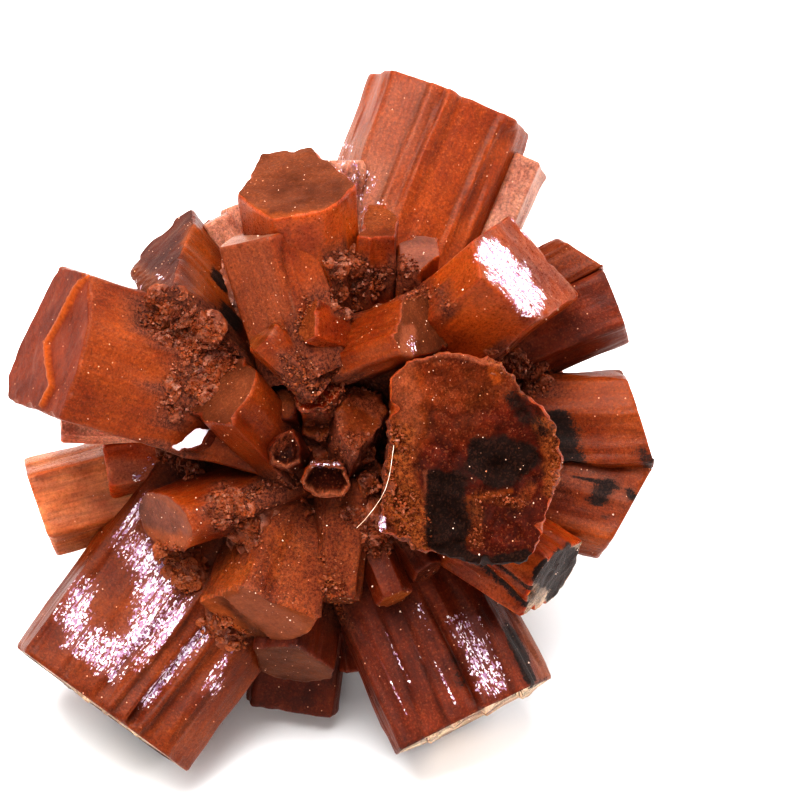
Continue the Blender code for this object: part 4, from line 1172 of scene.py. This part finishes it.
# How often each pattern repeats in a millimetre, worked out from the size of what it shows.
# Real twin facets, etch marks and flecks are a few hundredths of a millimetre wide, too fine to
# show, so theirs are drawn as coarse as they need to be.
CLOUDS = 0.22             # clouds of stain, 4.5 mm across
LOBES = 1.7               # lobes at the edge of an oxide coat, 0.6 mm
PATCHES = 1.1             # patches of painted mirror flecks, 0.9 mm
SPARKS = 1.25             # places for a single painted glint, 0.8 mm apart
SAND = 3.4                # grains of the sandy film, 0.3 mm
CRUMBS = 6.5              # twin facets, 0.15 mm
ETCHING = 7.5             # etch marks, 0.13 mm
FLECKS = (6.4, 6.4, 4.2)  # painted mirror flecks, 0.16 mm across and 0.24 mm along the prism

# A Mix node for colours has its factor at input 0, its colours at inputs 6 and 7 and its result
# at output 2. One for numbers has them at inputs 0, 2 and 3 and at output 0. A MapRange node's
# inputs 0 to 4 are its value, where that starts and ends, and what it starts and ends as.


def mineral_material(name, look, settings):
    """Iron-stained aragonite: glassy or frosted, lit from inside, with its coats and flecks.

    The clouds and fibres give the eye depth under the surface, the sand gives
    the satin film, the grit and oxide masks give the dull coats, the flecks
    and sparks are painted glints of growth facets too small to model, the
    glow mask is partly painted glow of light through thin places, and the
    shade mask is painted shade, partly each crystal's own tone.
    """
    material, tree, shader = blank_material(name)
    node = partial(add_node, tree)
    grown = node("Attribute", {}, "Vector", attribute_name="grown")
    oxide, gleam, glow, frost, grit, shade = (
        node("Attribute", {}, "Fac", attribute_name=kind) for kind in (*PAINTS, "shade"))
    banded = node("VectorMath", {0: grown, 1: look.bands}, operation="MULTIPLY")
    flaked = node("VectorMath", {0: grown, 1: FLECKS}, operation="MULTIPLY")
    fibres, clouds, sand, etching, lobes, patches = (
        node("TexNoise", {"Vector": place, "Scale": scale, "Detail": detail, "Roughness": rough}, "Fac")
        for place, scale, detail, rough in (
            (banded, 1.0, 4.0, 0.6),
            (grown, CLOUDS, 4.0, 0.6),
            (grown, SAND, 4.0, 0.85),
            (grown, ETCHING, 2.0, 0.8),
            (grown, LOBES, 5.0, 0.75),
            (grown, PATCHES, 4.0, 0.7)))
    # random numbers, one for each cell of an uneven pattern
    crumbs, fleck_chance, fleck_tint, spark_chance = (
        node("SeparateColor", {0: node("TexVoronoi", {"Vector": place, "Scale": scale}, "Color")}, channel)
        for place, scale, channel in (
            (grown, CRUMBS, 0), (flaked, 1.0, 0), (flaked, 1.0, 1), (grown, SPARKS, 0)))
    # stain: clouds of deep and bright, streaked by the fibres and grained by the sand
    cloudy = node("MapRange", {0: clouds, 1: 0.34, 2: 0.68})
    colour = node("Mix", {0: cloudy, 6: linear(look.deep), 7: linear(look.bright)}, 2, data_type="RGBA")
    streaks = node("MapRange", {0: fibres, 1: 0.3, 2: 0.7, 3: 1.0 - look.fibre, 4: 1.0 + look.fibre})
    grains = node("MapRange", {0: sand, 1: 0.34, 2: 0.66, 3: 1.0 - look.sand, 4: 1.0 + look.sand})
    facets = node("MapRange", {0: crumbs, 3: 1.0 - 0.3 * look.sand, 4: 1.0 + 0.3 * look.sand})
    film = node("Math", {0: clouds, 1: 0.5, 2: crumbs}, operation="MULTIPLY_ADD")
    film = node("MapRange", {0: film, 1: 1.10, 2: 1.18, 4: 0.45 * look.sand})
    # crust: brown and pink grains
    grainy = node("MapRange", {0: sand, 1: 0.38, 2: 0.66})
    crust = node("Mix", {0: grainy, 6: linear(look.grit[0]), 7: linear(look.grit[1])}, 2, data_type="RGBA")
    # painted shade: darker towards the heart and at the foot of the drawn ledges, and each crystal darker or
    # lighter by its own shade value
    painted_shade = node("MapRange", {0: shade, 1: -1.0, 3: 1.65, 4: 0.35})
    # oxide: a black coat with a ragged edge
    ragged = node("Math", {0: crumbs, 1: 0.35, 2: lobes}, operation="MULTIPLY_ADD")
    ragged = node("Math", {0: ragged, 1: 0.9, 2: oxide}, operation="MULTIPLY_ADD")
    ragged = node("MapRange", {0: ragged, 1: 0.92, 2: 1.18})
    marked = node("MapRange", {0: oxide, 1: 0.05, 2: 0.2})
    black = node("Math", {0: ragged, 1: marked}, operation="MULTIPLY")
    rusty = node("MapRange", {0: crumbs, 1: 0.55, 4: 0.5})
    oxide_colour = tuple(settings.oxide_colour)
    coating = node("Mix", {0: rusty, 6: oxide_colour, 7: linear("46281C")}, 2, data_type="RGBA")
    # flecks: painted reflections, lilac-white facets where the face mirrors a light, broken up by the fibres,
    # in a painted sheen
    patchy = node("Math", {0: patches, 1: 1.5, 2: gleam}, operation="MULTIPLY_ADD")
    sheen_patches = node("MapRange", {0: patchy, 1: 1.2, 2: 1.9, 4: 0.45})
    marked = node("MapRange", {0: gleam, 1: 0.02, 2: 0.3})
    painted_sheen = node("Math", {0: sheen_patches, 1: marked}, operation="MULTIPLY")
    covered = node("Math", {0: patchy, 1: fleck_chance}, operation="SUBTRACT")
    broken = node("MapRange", {0: fibres, 1: 0.53, 2: 0.59, 4: 0.7})
    covered = node("Math", {0: covered, 1: broken}, operation="SUBTRACT")
    covered = node("MapRange", {0: covered, 1: 1.15, 2: 1.25})
    marked = node("MapRange", {0: gleam, 1: 0.02, 2: 0.15})
    flecks = node("Math", {0: covered, 1: marked}, operation="MULTIPLY")
    lilac = node("MapRange", {0: fleck_tint, 1: 0.3, 2: 0.75})
    glint_colour = tuple(settings.glint_colour)
    glint_tint = node("Mix", {0: lilac, 6: linear("9E7690"), 7: glint_colour}, 2, data_type="RGBA")
    # sparks: painted glints, single bright specks here and there, few of them on the oxide
    middle = node("TexVoronoi", {"Vector": grown, "Scale": SPARKS}, "Distance")
    middle = node("MapRange", {0: middle, 1: 0.11, 2: 0.06})
    chosen = node("MapRange", {0: spark_chance, 1: 0.66, 2: 0.68})
    sparks = node("Math", {0: middle, 1: chosen}, operation="MULTIPLY")
    bare = node("MapRange", {0: black, 3: 1.0, 4: 0.2})
    sparks = node("Math", {0: sparks, 1: bare}, operation="MULTIPLY")
    # colour layers: painted glow, frost, fibres, sand, facets, film, crust, painted shade, oxide coat,
    # painted sheen, painted reflections in the flecks, and painted glints
    for share, coat, blend in (
            (glow, tuple(settings.glow_colour), "MIX"),
            (frost, tuple(settings.frost_colour), "MIX"),
            (1.0, streaks, "MULTIPLY"),
            (1.0, grains, "MULTIPLY"),
            (1.0, facets, "MULTIPLY"),
            (film, linear("A0603A"), "MIX"),
            (grit, crust, "MIX"),
            (1.0, painted_shade, "MULTIPLY"),
            (black, coating, "MIX"),
            (painted_sheen, linear("84504C"), "MIX"),
            (flecks, glint_tint, "MIX"),
            (sparks, linear("D8A080"), "MIX")):
        colour = node("Mix", {0: share, 6: colour, 7: coat}, 2, data_type="RGBA", blend_type=blend)
    # roughness: a satin film, dull grit and oxide, glassy flecks
    rough = node("MapRange", {0: sand, 1: 0.3, 2: 0.7, 3: look.roughness - 0.08, 4: look.roughness + 0.10})
    for first, second, level in ((grit, black, 0.6), (flecks, sparks, 0.14)):
        share = node("Math", {0: first, 1: second}, operation="MAXIMUM")
        rough = node("Mix", {0: share, 2: rough, 3: level})
    # fine relief: the sand, the fibre edges and the grit
    deeper = node("MapRange", {0: grit, 3: 0.8, 4: 2.4})
    height = node("Math", {0: sand, 1: deeper, 2: fibres}, operation="MULTIPLY_ADD")
    fine = node("Math", {0: etching, 1: crumbs}, operation="ADD")
    height = node("Math", {0: fine, 1: 0.5, 2: height}, operation="MULTIPLY_ADD")
    link_surface(tree, shader, colour, rough, height, look.frost)
    set_surface(shader, {"Specular IOR Level": look.gloss, **light_inside(look.clear, look.reach)})
    return material


def look_material(part, name, settings):
    """The material with that look for flanks (part "grown") or free ends (part "end"), made once."""
    full_name = f"aragonite_{part}_{name}"
    return bpy.data.materials.get(full_name) or mineral_material(full_name, LOOKS[name], settings)


def crust_material():
    """Fine iron-stained aragonite crust: dull grains with a few bright, glossy facets, paler partly by their
    own tone and partly as painted highlights.
    """
    material, tree, shader = blank_material("aragonite_crust_granular")
    node = partial(add_node, tree)
    place = node("TexCoord", {}, "Object")
    warm = node("Attribute", {}, "Fac", attribute_name="glow")
    # patches of stain 2.2 mm across, facets 0.45 mm and grain 0.25 mm, coarser than real so it shows
    patches = node("TexNoise", {"Vector": place, "Scale": 0.45 / MM, "Detail": 3.0, "Roughness": 0.6}, "Fac")
    facets = node("TexVoronoi", {"Vector": place, "Scale": 2.2 / MM}, "Color")
    facets = node("SeparateColor", {0: facets}, 0)
    grain = node("TexNoise", {"Vector": place, "Scale": 4.0 / MM, "Detail": 3.0, "Roughness": 0.7}, "Fac")
    stained = node("MapRange", {0: patches, 1: 0.35, 2: 0.65})
    colour = node("Mix", {0: stained, 6: linear("4E200F"), 7: linear("82401F")}, 2, data_type="RGBA")
    # paler, glossier facets: partly their own pink-tan, partly painted highlights
    pale_facets = node("MapRange", {0: facets, 1: 0.45, 4: 0.6})
    grainy = node("MapRange", {0: grain, 1: 0.3, 2: 0.7, 3: 0.65, 4: 1.35})
    for share, coat, blend in (
            (pale_facets, linear("986450"), "MIX"),
            (warm, linear("96502A"), "MIX"),
            (1.0, grainy, "MULTIPLY")):
        colour = node("Mix", {0: share, 6: colour, 7: coat}, 2, data_type="RGBA", blend_type=blend)
    rough = node("MapRange", {0: facets, 3: 0.62, 4: 0.24})
    link_surface(tree, shader, colour, rough, grain, 0.08)
    set_surface(shader, {"Specular IOR Level": 0.15, **light_inside(0.2, 0.6)})
    return material


def dust_material():
    """Loose flakes of clear aragonite: small, pale and glassy, so they glint."""
    material, tree, shader = blank_material("aragonite_dust_glassy")
    node = partial(add_node, tree)
    place = node("TexCoord", {}, "Object")
    # the tint changes every 1.3 mm, from flake to flake
    tint = node("TexNoise", {"Vector": place, "Scale": 0.8 / MM, "Detail": 1.0, "Roughness": 0.6}, "Fac")
    share = node("MapRange", {0: tint, 1: 0.4, 2: 0.6})
    colour = node("Mix", {0: share, 6: linear("A86C4C"), 7: linear("F4D8C4")}, 2, data_type="RGBA")
    tree.links.new(colour, shader.inputs["Base Color"])
    set_surface(shader, {"Roughness": 0.15, "IOR": ARAGONITE_IOR})
    return material


# ---------------------------------------------------------------- crust and dust

CRUST_RELIEF = 0.3                    # how far a lump's surface goes in and out, a share of its radius
CRUST_SPACING = 4.0                   # spacing of those ins and outs
REACH = 17.0                          # half the width that falling things are aimed at
OUTSIDE = 70.0                        # a distance from the heart beyond every crystal
OVERHEAD = 60.0                       # a height over every crystal, on the display side
DOWN = Vector((0.0, 0.0, -1.0))       # away from the display side
DUST_LIMIT = 33.0                     # dust that lands further out than this is left off
CRUST_SEED = 11                       # seeds of what falls on the cluster
DUST_SEED = 5
CLEFT_REACH = 14.0                    # how far from the heart grains lie on the prisms
CLEFT = (14.5, 10.5)                  # distances at which fewest and all of those grains stay
DUST_SIZE = (0.03, 0.07)              # radius of the finest dust, and how much the largest adds
COBBLE = 0.62                         # spacing of the grains raised on a lump
GRAIN_MIX = (0.35, 0.25, 0.40)        # shares of blocks, stubs and pebbles among the grains
SUNK = 0.15                           # how far a grain's middle stands out, a share of its size
MOUND_DENSITY = 0.45                  # mounds tried on a square millimetre of a heap
LOW_HEAP = 0.4                        # a heap no higher than this has grains and no mounds


def prism_cage(crystal):
    """Corners and faces of the plain prism, for finding what lies outside."""
    corners = end_corners(crystal)
    middle = sum(corners, Vector()) / len(corners)
    shift = Vector(crystal.root) - Vector(crystal.tip)
    root = [middle + shift + (corner - middle) * crystal.taper for corner in corners]
    count = len(corners)
    faces = [tuple(range(count)), tuple(range(2 * count - 1, count - 1, -1))]
    faces += [(i, (i + 1) % count, count + (i + 1) % count, count + i) for i in range(count)]
    return corners + root, faces


def cluster_tree(crystals, lumps):
    """A search tree of the whole cluster, and which of its faces belong to crust."""
    points = []
    faces = []
    for crystal in crystals:
        cage, sides = prism_cage(crystal)
        faces += [tuple(corner + len(points) for corner in side) for side in sides]
        points += cage
    prism_faces = len(faces)
    for _name, middle, radius in lumps:
        bm = bmesh.new()
        bmesh.ops.create_icosphere(bm, subdivisions=3, radius=radius)
        for vertex in bm.verts:
            vertex.co = crust_surface(vertex.co.normalized(), Vector(middle), radius)
        bm.verts.index_update()
        faces += [tuple(vertex.index + len(points) for vertex in face.verts) for face in bm.faces]
        points += [vertex.co.copy() for vertex in bm.verts]
        bm.free()
    return BVHTree.FromPolygons(points, faces), prism_faces


def crust_surface(outward_way, middle, radius):
    """A point on a lump's broad surface."""
    place = middle + outward_way * radius
    return place + outward_way * CRUST_RELIEF * radius * noise.noise(place / CRUST_SPACING)


def landing_spots(tree, count, seed):
    """Points where things falling on the cluster from all sides would land."""
    chance = random.Random(seed)
    for _ in range(count):
        way = Vector((chance.gauss(0.0, 1.0), chance.gauss(0.0, 1.0), chance.gauss(0.25, 1.0))).normalized()
        aim = Vector([chance.uniform(-REACH, REACH) for _axis in range(3)])
        spot, normal, index, _gap = tree.ray_cast(aim + way * OUTSIDE, -way)
        if spot is None:
            continue
        if normal.dot(way) < 0.0:
            normal = -normal
        yield spot, normal, index, chance


def template(make, **sizes):
    """Corners and faces of a small solid, to be copied many times."""
    bm = bmesh.new()
    make(bm, **sizes)
    bm.verts.index_update()
    corners = [vertex.co.copy() for vertex in bm.verts]
    faces = [[vertex.index for vertex in face.verts] for face in bm.faces]
    bm.free()
    return corners, faces


BLOCK = template(bmesh.ops.create_cube, size=0.9)
STUB = template(bmesh.ops.create_cone, cap_ends=True, segments=6, radius1=0.45, radius2=0.38, depth=1.2)
PEBBLE = template(bmesh.ops.create_icosphere, subdivisions=1, radius=0.55)


def copy_solid(bm, solid, where, jitter, chance):
    """Add a copy of a template solid, with its corners moved at random."""
    corners, faces = solid
    verts = [bm.verts.new(where @ corner + Vector([chance.uniform(-jitter, jitter) for _axis in range(3)]))
             for corner in corners]
    for face in faces:
        bm.faces.new([verts[corner] for corner in face])


def crust_grain(bm, spot, normal, size, chance):
    """One angular grain of crust, sunk a little into what it grew on."""
    turn = Matrix.Rotation(chance.uniform(0.0, math.tau), 4, Vector(
        (chance.gauss(0.0, 1.0), chance.gauss(0.0, 1.0), chance.gauss(0.0, 1.0))).normalized())
    shape = Matrix.Diagonal((size, size * chance.uniform(0.6, 1.0), size * chance.uniform(0.5, 1.4), 1.0))
    where = Matrix.Translation(spot + normal * size * SUNK) @ turn @ shape
    solid = chance.choices((BLOCK, STUB, PEBBLE), GRAIN_MIX)[0]
    copy_solid(bm, solid, where, 0.13 * size, chance)


def crust_lump(bm, middle, shape, detail):
    """A cobbled lump of crust: a ball stretched to a shape, with grains raised on it."""
    made = bmesh.ops.create_icosphere(bm, subdivisions=detail, radius=1.0)
    for vertex in made["verts"]:
        way = vertex.co.copy()
        place = middle + Vector(way[axis] * shape[axis] for axis in range(3))
        place += way * CRUST_RELIEF * shape[0] * noise.noise(place / CRUST_SPACING)
        gaps, _places = noise.voronoi(place / COBBLE)
        cobble = 0.15 * (0.55 - gaps[0]) + 0.16 * noise.noise(place / 0.42) + 0.10 * noise.noise(place / 0.17)
        vertex.co = place + way * cobble * min(1.0, 0.3 + shape[2])
    for face in bm.faces:
        face.smooth = True


def heap_places(heap, chance, density):
    """Random display (x, y) points on a heap, each with its distance from the line as a share."""
    xs = [point[0] for point in heap.trail]
    ys = [point[1] for point in heap.trail]
    low = (min(xs) - heap.width, min(ys) - heap.width)
    high = (max(xs) + heap.width, max(ys) + heap.width)
    for _ in range(round((high[0] - low[0]) * (high[1] - low[1]) * density)):
        x = chance.uniform(low[0], high[0])
        y = chance.uniform(low[1], high[1])
        gap = trail_gap(x, y, heap.trail) / heap.width
        gap += 0.35 * noise.noise(Vector((x, y, 4.0)) / 1.6)
        if gap < 1.0:
            yield x, y, gap


def build_heap(heap, tree, material, settings):
    """One heap: low cobbled mounds on the prisms, and angular grains over them."""
    chance = random.Random(heap.name)
    bm = bmesh.new()
    coarse = 1.0
    for x, y, gap in heap_places(heap, chance, MOUND_DENSITY if heap.height > LOW_HEAP else 0.0):
        spot = tree.ray_cast(Vector((x, y, OVERHEAD)), DOWN)[0]
        if spot is None:
            continue
        wide = chance.uniform(0.45, 0.80) * min(heap.width, 2.4) * (1.15 - 0.5 * gap)
        tall = heap.height * (1.0 - 0.7 * gap) * chance.uniform(0.45, 0.8)
        crust_lump(bm, spot, (wide, wide, tall), 4 if wide > 0.9 and coarse == 1.0 else 3)
    bm.faces.ensure_lookup_table()
    mounds = BVHTree.FromBMesh(bm) if bm.faces else tree
    for x, y, gap in heap_places(heap, chance, settings.heap_density / coarse):
        spots = [found.ray_cast(Vector((x, y, OVERHEAD)), DOWN)[:2] for found in (tree, mounds)]
        spots = [found for found in spots if found[0] is not None]
        if not spots:
            continue
        spot, normal = max(spots, key=lambda found: found[0].z)
        if normal.z < 0.0:
            normal = -normal
        size = settings.grain_size / MM * (0.2 + 0.5 * chance.random() ** 3) * (1.1 - 0.4 * gap)
        crust_grain(bm, spot, normal, size * min(1.0, 0.4 + heap.height), chance)
    warmth = bm.verts.layers.float.new("glow")
    for vertex in bm.verts:
        vertex[warmth] = heap.warm
    upright(bm)
    add_piece(f"crust_heap_{heap.name}", bm, [material])


def build_crust(settings):
    """The lumps of crust in the clefts and the heaps on the prisms, covered in grains."""
    crystals = LARGE_CRYSTALS + SMALL_CRYSTALS + BACK_CRYSTALS
    tree, prism_faces = cluster_tree(crystals, CRUST_LUMPS)
    material = crust_material()
    meshes = []
    for _name, middle, radius in CRUST_LUMPS:
        bm = bmesh.new()
        detail = 5 if radius > 6.0 else 4
        detail += 1
        crust_lump(bm, Vector(middle), (radius, radius, radius), detail)
        meshes.append(bm)
    middles = [Vector(middle) for _name, middle, _radius in CRUST_LUMPS]
    largest = settings.grain_size / MM
    count = settings.grain_count // 1
    for spot, normal, index, chance in landing_spots(tree, count, CRUST_SEED):
        on_crust = index >= prism_faces
        cleft = spot.length < CLEFT_REACH and chance.random() < smooth(*CLEFT, spot.length)
        if not on_crust and not cleft:
            continue
        size = largest * (0.3 + 0.7 * chance.random() ** 2)
        home = min(range(len(middles)), key=lambda place: (middles[place] - spot).length)
        crust_grain(meshes[home], spot, normal, size, chance)
    for (name, _middle, _radius), bm in zip(CRUST_LUMPS, meshes):
        upright(bm)
        add_piece(f"crust_{name}", bm, [material])
    for heap in HEAPS:
        build_heap(heap, tree, material, settings)


def build_dust(settings):
    """Pale flakes scattered over every face."""
    crystals = LARGE_CRYSTALS + SMALL_CRYSTALS + BACK_CRYSTALS
    tree, _prism_faces = cluster_tree(crystals, CRUST_LUMPS)
    bm = bmesh.new()
    for spot, normal, _index, chance in landing_spots(tree, settings.dust_count, DUST_SEED):
        if spot.length > DUST_LIMIT:
            continue
        finest, added = DUST_SIZE
        size = finest + added * chance.random() ** 3
        where = Matrix.Translation(spot - normal * size * 0.1) @ Matrix.Scale(2.0 * size, 4)
        copy_solid(bm, PEBBLE, where, 0.25 * size, chance)
    upright(bm)
    for vertex in bm.verts:
        vertex.co.z = max(vertex.co.z, 0.0)
    add_piece("dust_flakes", bm, [dust_material()])


# the lint fibre as the display side sees it, and its measures in millimetres
FIBRE = (
    (6.2, -1.4), (5.9, -3.6), (5.7, -4.6), (5.4, -5.6), (4.9, -6.6), (4.2, -7.6), (3.4, -8.6), (2.6, -9.4))
FIBRE_WIDTH = 0.06
FIBRE_CLEAR = 0.6                     # how high it starts over what is under it
FIBRE_DROP = 0.1                      # how much lower each of its points lies
FIBRE_SIDES = 6


def fibre_material():
    """A lint fibre: thin pale cotton, soft."""
    material, tree, shader = blank_material("lint_cotton_spun")
    node = partial(add_node, tree)
    place = node("TexCoord", {}, "Object")
    # the twist of the fibre shows every 0.7 mm
    tint = node("TexNoise", {"Vector": place, "Scale": 1.4 / MM, "Detail": 1.0, "Roughness": 0.6}, "Fac")
    share = node("MapRange", {0: tint, 1: 0.4, 2: 0.6})
    colour = node("Mix", {0: share, 6: linear("D8B8A0"), 7: linear("F6E8DC")}, 2, data_type="RGBA")
    rough = node("MapRange", {0: tint, 1: 0.3, 2: 0.7, 3: 0.5, 4: 0.7})
    link_surface(tree, shader, colour, rough, tint, 0.01)
    return material


def build_fibre():
    """The lint fibre that lies beside the big front prism."""
    tree, _prism_faces = cluster_tree(LARGE_CRYSTALS + SMALL_CRYSTALS, CRUST_LUMPS)
    levels = [tree.ray_cast(Vector((x, y, OVERHEAD)), DOWN)[0].z for x, y in FIBRE]
    top = max(levels) + FIBRE_CLEAR
    spine = [Vector((x, y, top - FIBRE_DROP * place)) for place, (x, y) in enumerate(FIBRE)]
    bm = bmesh.new()
    rings = []
    for place, point in enumerate(spine):
        run = (spine[min(place + 1, len(spine) - 1)] - spine[max(place - 1, 0)]).normalized()
        side = run.cross(Vector((0.0, 0.0, 1.0))).normalized()
        turned = [side * math.cos(angle) + side.cross(run) * math.sin(angle)
                  for angle in (math.tau * step / FIBRE_SIDES for step in range(FIBRE_SIDES))]
        rings.append([bm.verts.new(point + way * 0.5 * FIBRE_WIDTH) for way in turned])
    for near, far in zip(rings, rings[1:]):
        for i in range(FIBRE_SIDES):
            after = (i + 1) % FIBRE_SIDES
            face = bm.faces.new((near[i], near[after], far[after], far[i]))
            face.smooth = True
    bm.faces.new(rings[0])
    bm.faces.new(rings[-1])
    bmesh.ops.recalc_face_normals(bm, faces=bm.faces)
    upright(bm)
    add_piece("lint_fibre", bm, [fibre_material()])


# ---------------------------------------------------------------- stage

VIEW_MIDDLE = (6.8, 3.0, 0.0)         # the middle of the view, in the display frame
SENSOR_WIDTH = 36.0                   # millimetres
NEAREST = 0.05                        # metres; the camera sees nothing nearer or further
FURTHEST = 20.0


def display_point(x, y, z):
    """A display-frame point in the frame's own axes, in metres."""
    return (TO_ROW @ Vector((x, y, z)) + HEART) * MM


def display_way(x, y, z):
    """A display-frame direction in the frame's own axes."""
    return (TO_ROW @ Vector((x, y, z))).normalized()


def board_material(settings):
    """Matt white board, pressed from paper: a soft white with a trace of tooth."""
    material, tree, shader = blank_material("paper_board_matt")
    node = partial(add_node, tree)
    place = node("TexCoord", {}, "Object")
    # the tooth of the board, 0.5 mm wide and 0.05 mm deep
    tooth = node("TexNoise", {"Vector": place, "Scale": 2.0 / MM, "Detail": 2.0, "Roughness": 0.6}, "Fac")
    normal = node("Bump", {"Height": tooth, "Strength": 0.1, "Distance": 0.05 * MM}, "Normal")
    tree.links.new(normal, shader.inputs["Normal"])
    set_surface(shader, {
        "Base Color": tuple(settings.floor_colour),
        "Roughness": 0.9,
        "Specular IOR Level": 0.1,
    })
    return material


def add_floor(settings):
    """The board that the cluster rests on."""
    bm = bmesh.new()
    bmesh.ops.create_grid(bm, x_segments=8, y_segments=8, size=0.5 * settings.floor_width)
    mesh = bpy.data.meshes.new("floor")
    bm.to_mesh(mesh)
    bm.free()
    mesh.materials.append(board_material(settings))
    floor = bpy.data.objects.new("floor", mesh)
    bpy.context.scene.collection.objects.link(floor)


def add_area_light(name, place, target, width, power):
    """A square light of that width, turned to its target."""
    data = bpy.data.lights.new(name, "AREA")
    data.shape = "SQUARE"
    data.size = width
    data.energy = power
    light = bpy.data.objects.new(name, data)
    bpy.context.scene.collection.objects.link(light)
    light.location = place
    light.rotation_mode = "QUATERNION"
    light.rotation_quaternion = (target - place).to_track_quat("-Z", "Y")


def add_camera(settings):
    """A long lens square to the display side."""
    data = bpy.data.cameras.new("camera")
    data.lens = settings.lens
    data.sensor_width = SENSOR_WIDTH
    data.clip_start = NEAREST
    data.clip_end = FURTHEST
    camera = bpy.data.objects.new("camera", data)
    bpy.context.scene.collection.objects.link(camera)
    distance = settings.field_width * settings.lens / SENSOR_WIDTH
    view = display_way(0.0, 0.0, 1.0)
    camera.rotation_mode = "QUATERNION"
    camera.rotation_quaternion = TO_ROW.to_quaternion()
    camera.location = display_point(*VIEW_MIDDLE) + view * distance
    bpy.context.scene.camera = camera


# studio lights: name, display direction it comes from, distance, width and share of the power
STUDIO_LIGHTS = (
    ("key", (-0.15, 0.65, 0.85), 1.0, 0.6, 1.0),
    ("fill_right", (1.0, 0.55, 0.45), 1.1, 0.6, 0.40),
    ("fill_left", (-1.0, 0.60, 0.35), 1.1, 0.6, 0.10),
    ("fill_front", (-0.1, -0.25, 1.0), 1.2, 0.5, 0.15),
    ("fill_back", (0.1, 1.0, 0.1), 1.1, 0.6, 0.40),
)


def build_stage(settings):
    """Floor, lights, room light and camera."""
    scene = bpy.context.scene
    scene.view_settings.view_transform = "Standard"
    scene.view_settings.look = "High Contrast"
    add_floor(settings)
    centre = display_point(0.0, 0.0, 0.0)
    for name, way, distance, width, share in STUDIO_LIGHTS:
        place = centre + display_way(*way) * distance
        add_area_light(name, place, centre, width, settings.light_power * share)
    world = bpy.data.worlds.new("room")
    world.use_nodes = True
    scene.world = world
    backdrop = world.node_tree.nodes["Background"]
    backdrop.inputs["Color"].default_value = (1.0, 1.0, 1.0, 1.0)
    backdrop.inputs["Strength"].default_value = settings.sky_strength
    add_camera(settings)


# ---------------------------------------------------------------- operators

class ARAGONITE_OT_large_prisms(bpy.types.Operator):
    """Grow the large prisms of the display side"""
    bl_idname = "aragonite.large_prisms"
    bl_label = "Large Prisms"

    def execute(self, context):
        for crystal in LARGE_CRYSTALS:
            grow_crystal(crystal, context.scene.aragonite_cluster)
        return {"FINISHED"}


class ARAGONITE_OT_small_prisms(bpy.types.Operator):
    """Grow the small prisms in the middle of the display side"""
    bl_idname = "aragonite.small_prisms"
    bl_label = "Small Prisms"

    def execute(self, context):
        for crystal in SMALL_CRYSTALS:
            grow_crystal(crystal, context.scene.aragonite_cluster)
        return {"FINISHED"}


class ARAGONITE_OT_back_prisms(bpy.types.Operator):
    """Grow the prisms of the back and the underside"""
    bl_idname = "aragonite.back_prisms"
    bl_label = "Back Prisms"

    def execute(self, context):
        for crystal in BACK_CRYSTALS:
            grow_crystal(crystal, context.scene.aragonite_cluster)
        return {"FINISHED"}


class ARAGONITE_OT_crust(bpy.types.Operator):
    """Fill the clefts with lumps and grains of crust"""
    bl_idname = "aragonite.crust"
    bl_label = "Crust"

    def execute(self, context):
        build_crust(context.scene.aragonite_cluster)
        return {"FINISHED"}


class ARAGONITE_OT_dust(bpy.types.Operator):
    """Scatter pale flakes over the faces"""
    bl_idname = "aragonite.dust"
    bl_label = "Dust"

    def execute(self, context):
        build_dust(context.scene.aragonite_cluster)
        return {"FINISHED"}


class ARAGONITE_OT_fibre(bpy.types.Operator):
    """Lay the lint fibre beside the big front prism"""
    bl_idname = "aragonite.fibre"
    bl_label = "Lint Fibre"

    def execute(self, context):
        build_fibre()
        return {"FINISHED"}


class ARAGONITE_OT_stage(bpy.types.Operator):
    """Set the floor, the lights and the camera"""
    bl_idname = "aragonite.stage"
    bl_label = "Stage"

    def execute(self, context):
        build_stage(context.scene.aragonite_stage)
        return {"FINISHED"}


OPERATORS = (
    ARAGONITE_OT_large_prisms,
    ARAGONITE_OT_small_prisms,
    ARAGONITE_OT_back_prisms,
    ARAGONITE_OT_crust,
    ARAGONITE_OT_dust,
    ARAGONITE_OT_fibre,
    ARAGONITE_OT_stage,
)


class ARAGONITE_PT_panel(bpy.types.Panel):
    """The steps and the settings, in the order they are run"""
    bl_idname = "ARAGONITE_PT_panel"
    bl_label = "Aragonite Cluster"
    bl_space_type = "VIEW_3D"
    bl_region_type = "UI"
    bl_category = "Aragonite"

    def draw(self, context):
        column = self.layout.column(align=True)
        for operator in OPERATORS:
            column.operator(operator.bl_idname)
        for group in (context.scene.aragonite_cluster, context.scene.aragonite_stage):
            box = self.layout.box()
            for name in group.__annotations__:
                box.prop(group, name)


CLASSES = (ClusterSettings, StageSettings, *OPERATORS, ARAGONITE_PT_panel)


def register():
    """Register the classes and hang the settings on the scene."""
    for cls in CLASSES:
        bpy.utils.register_class(cls)
    bpy.types.Scene.aragonite_cluster = PointerProperty(type=ClusterSettings)
    bpy.types.Scene.aragonite_stage = PointerProperty(type=StageSettings)


def unregister():
    """Take off what register put on."""
    del bpy.types.Scene.aragonite_stage
    del bpy.types.Scene.aragonite_cluster
    for cls in reversed(CLASSES):
        bpy.utils.unregister_class(cls)


def main():
    """Build everything in order."""
    register()
    bpy.ops.aragonite.large_prisms()
    bpy.ops.aragonite.small_prisms()
    bpy.ops.aragonite.back_prisms()
    bpy.ops.aragonite.crust()
    bpy.ops.aragonite.dust()
    bpy.ops.aragonite.fibre()
    bpy.ops.aragonite.stage()


if __name__ == "__main__":
    main()
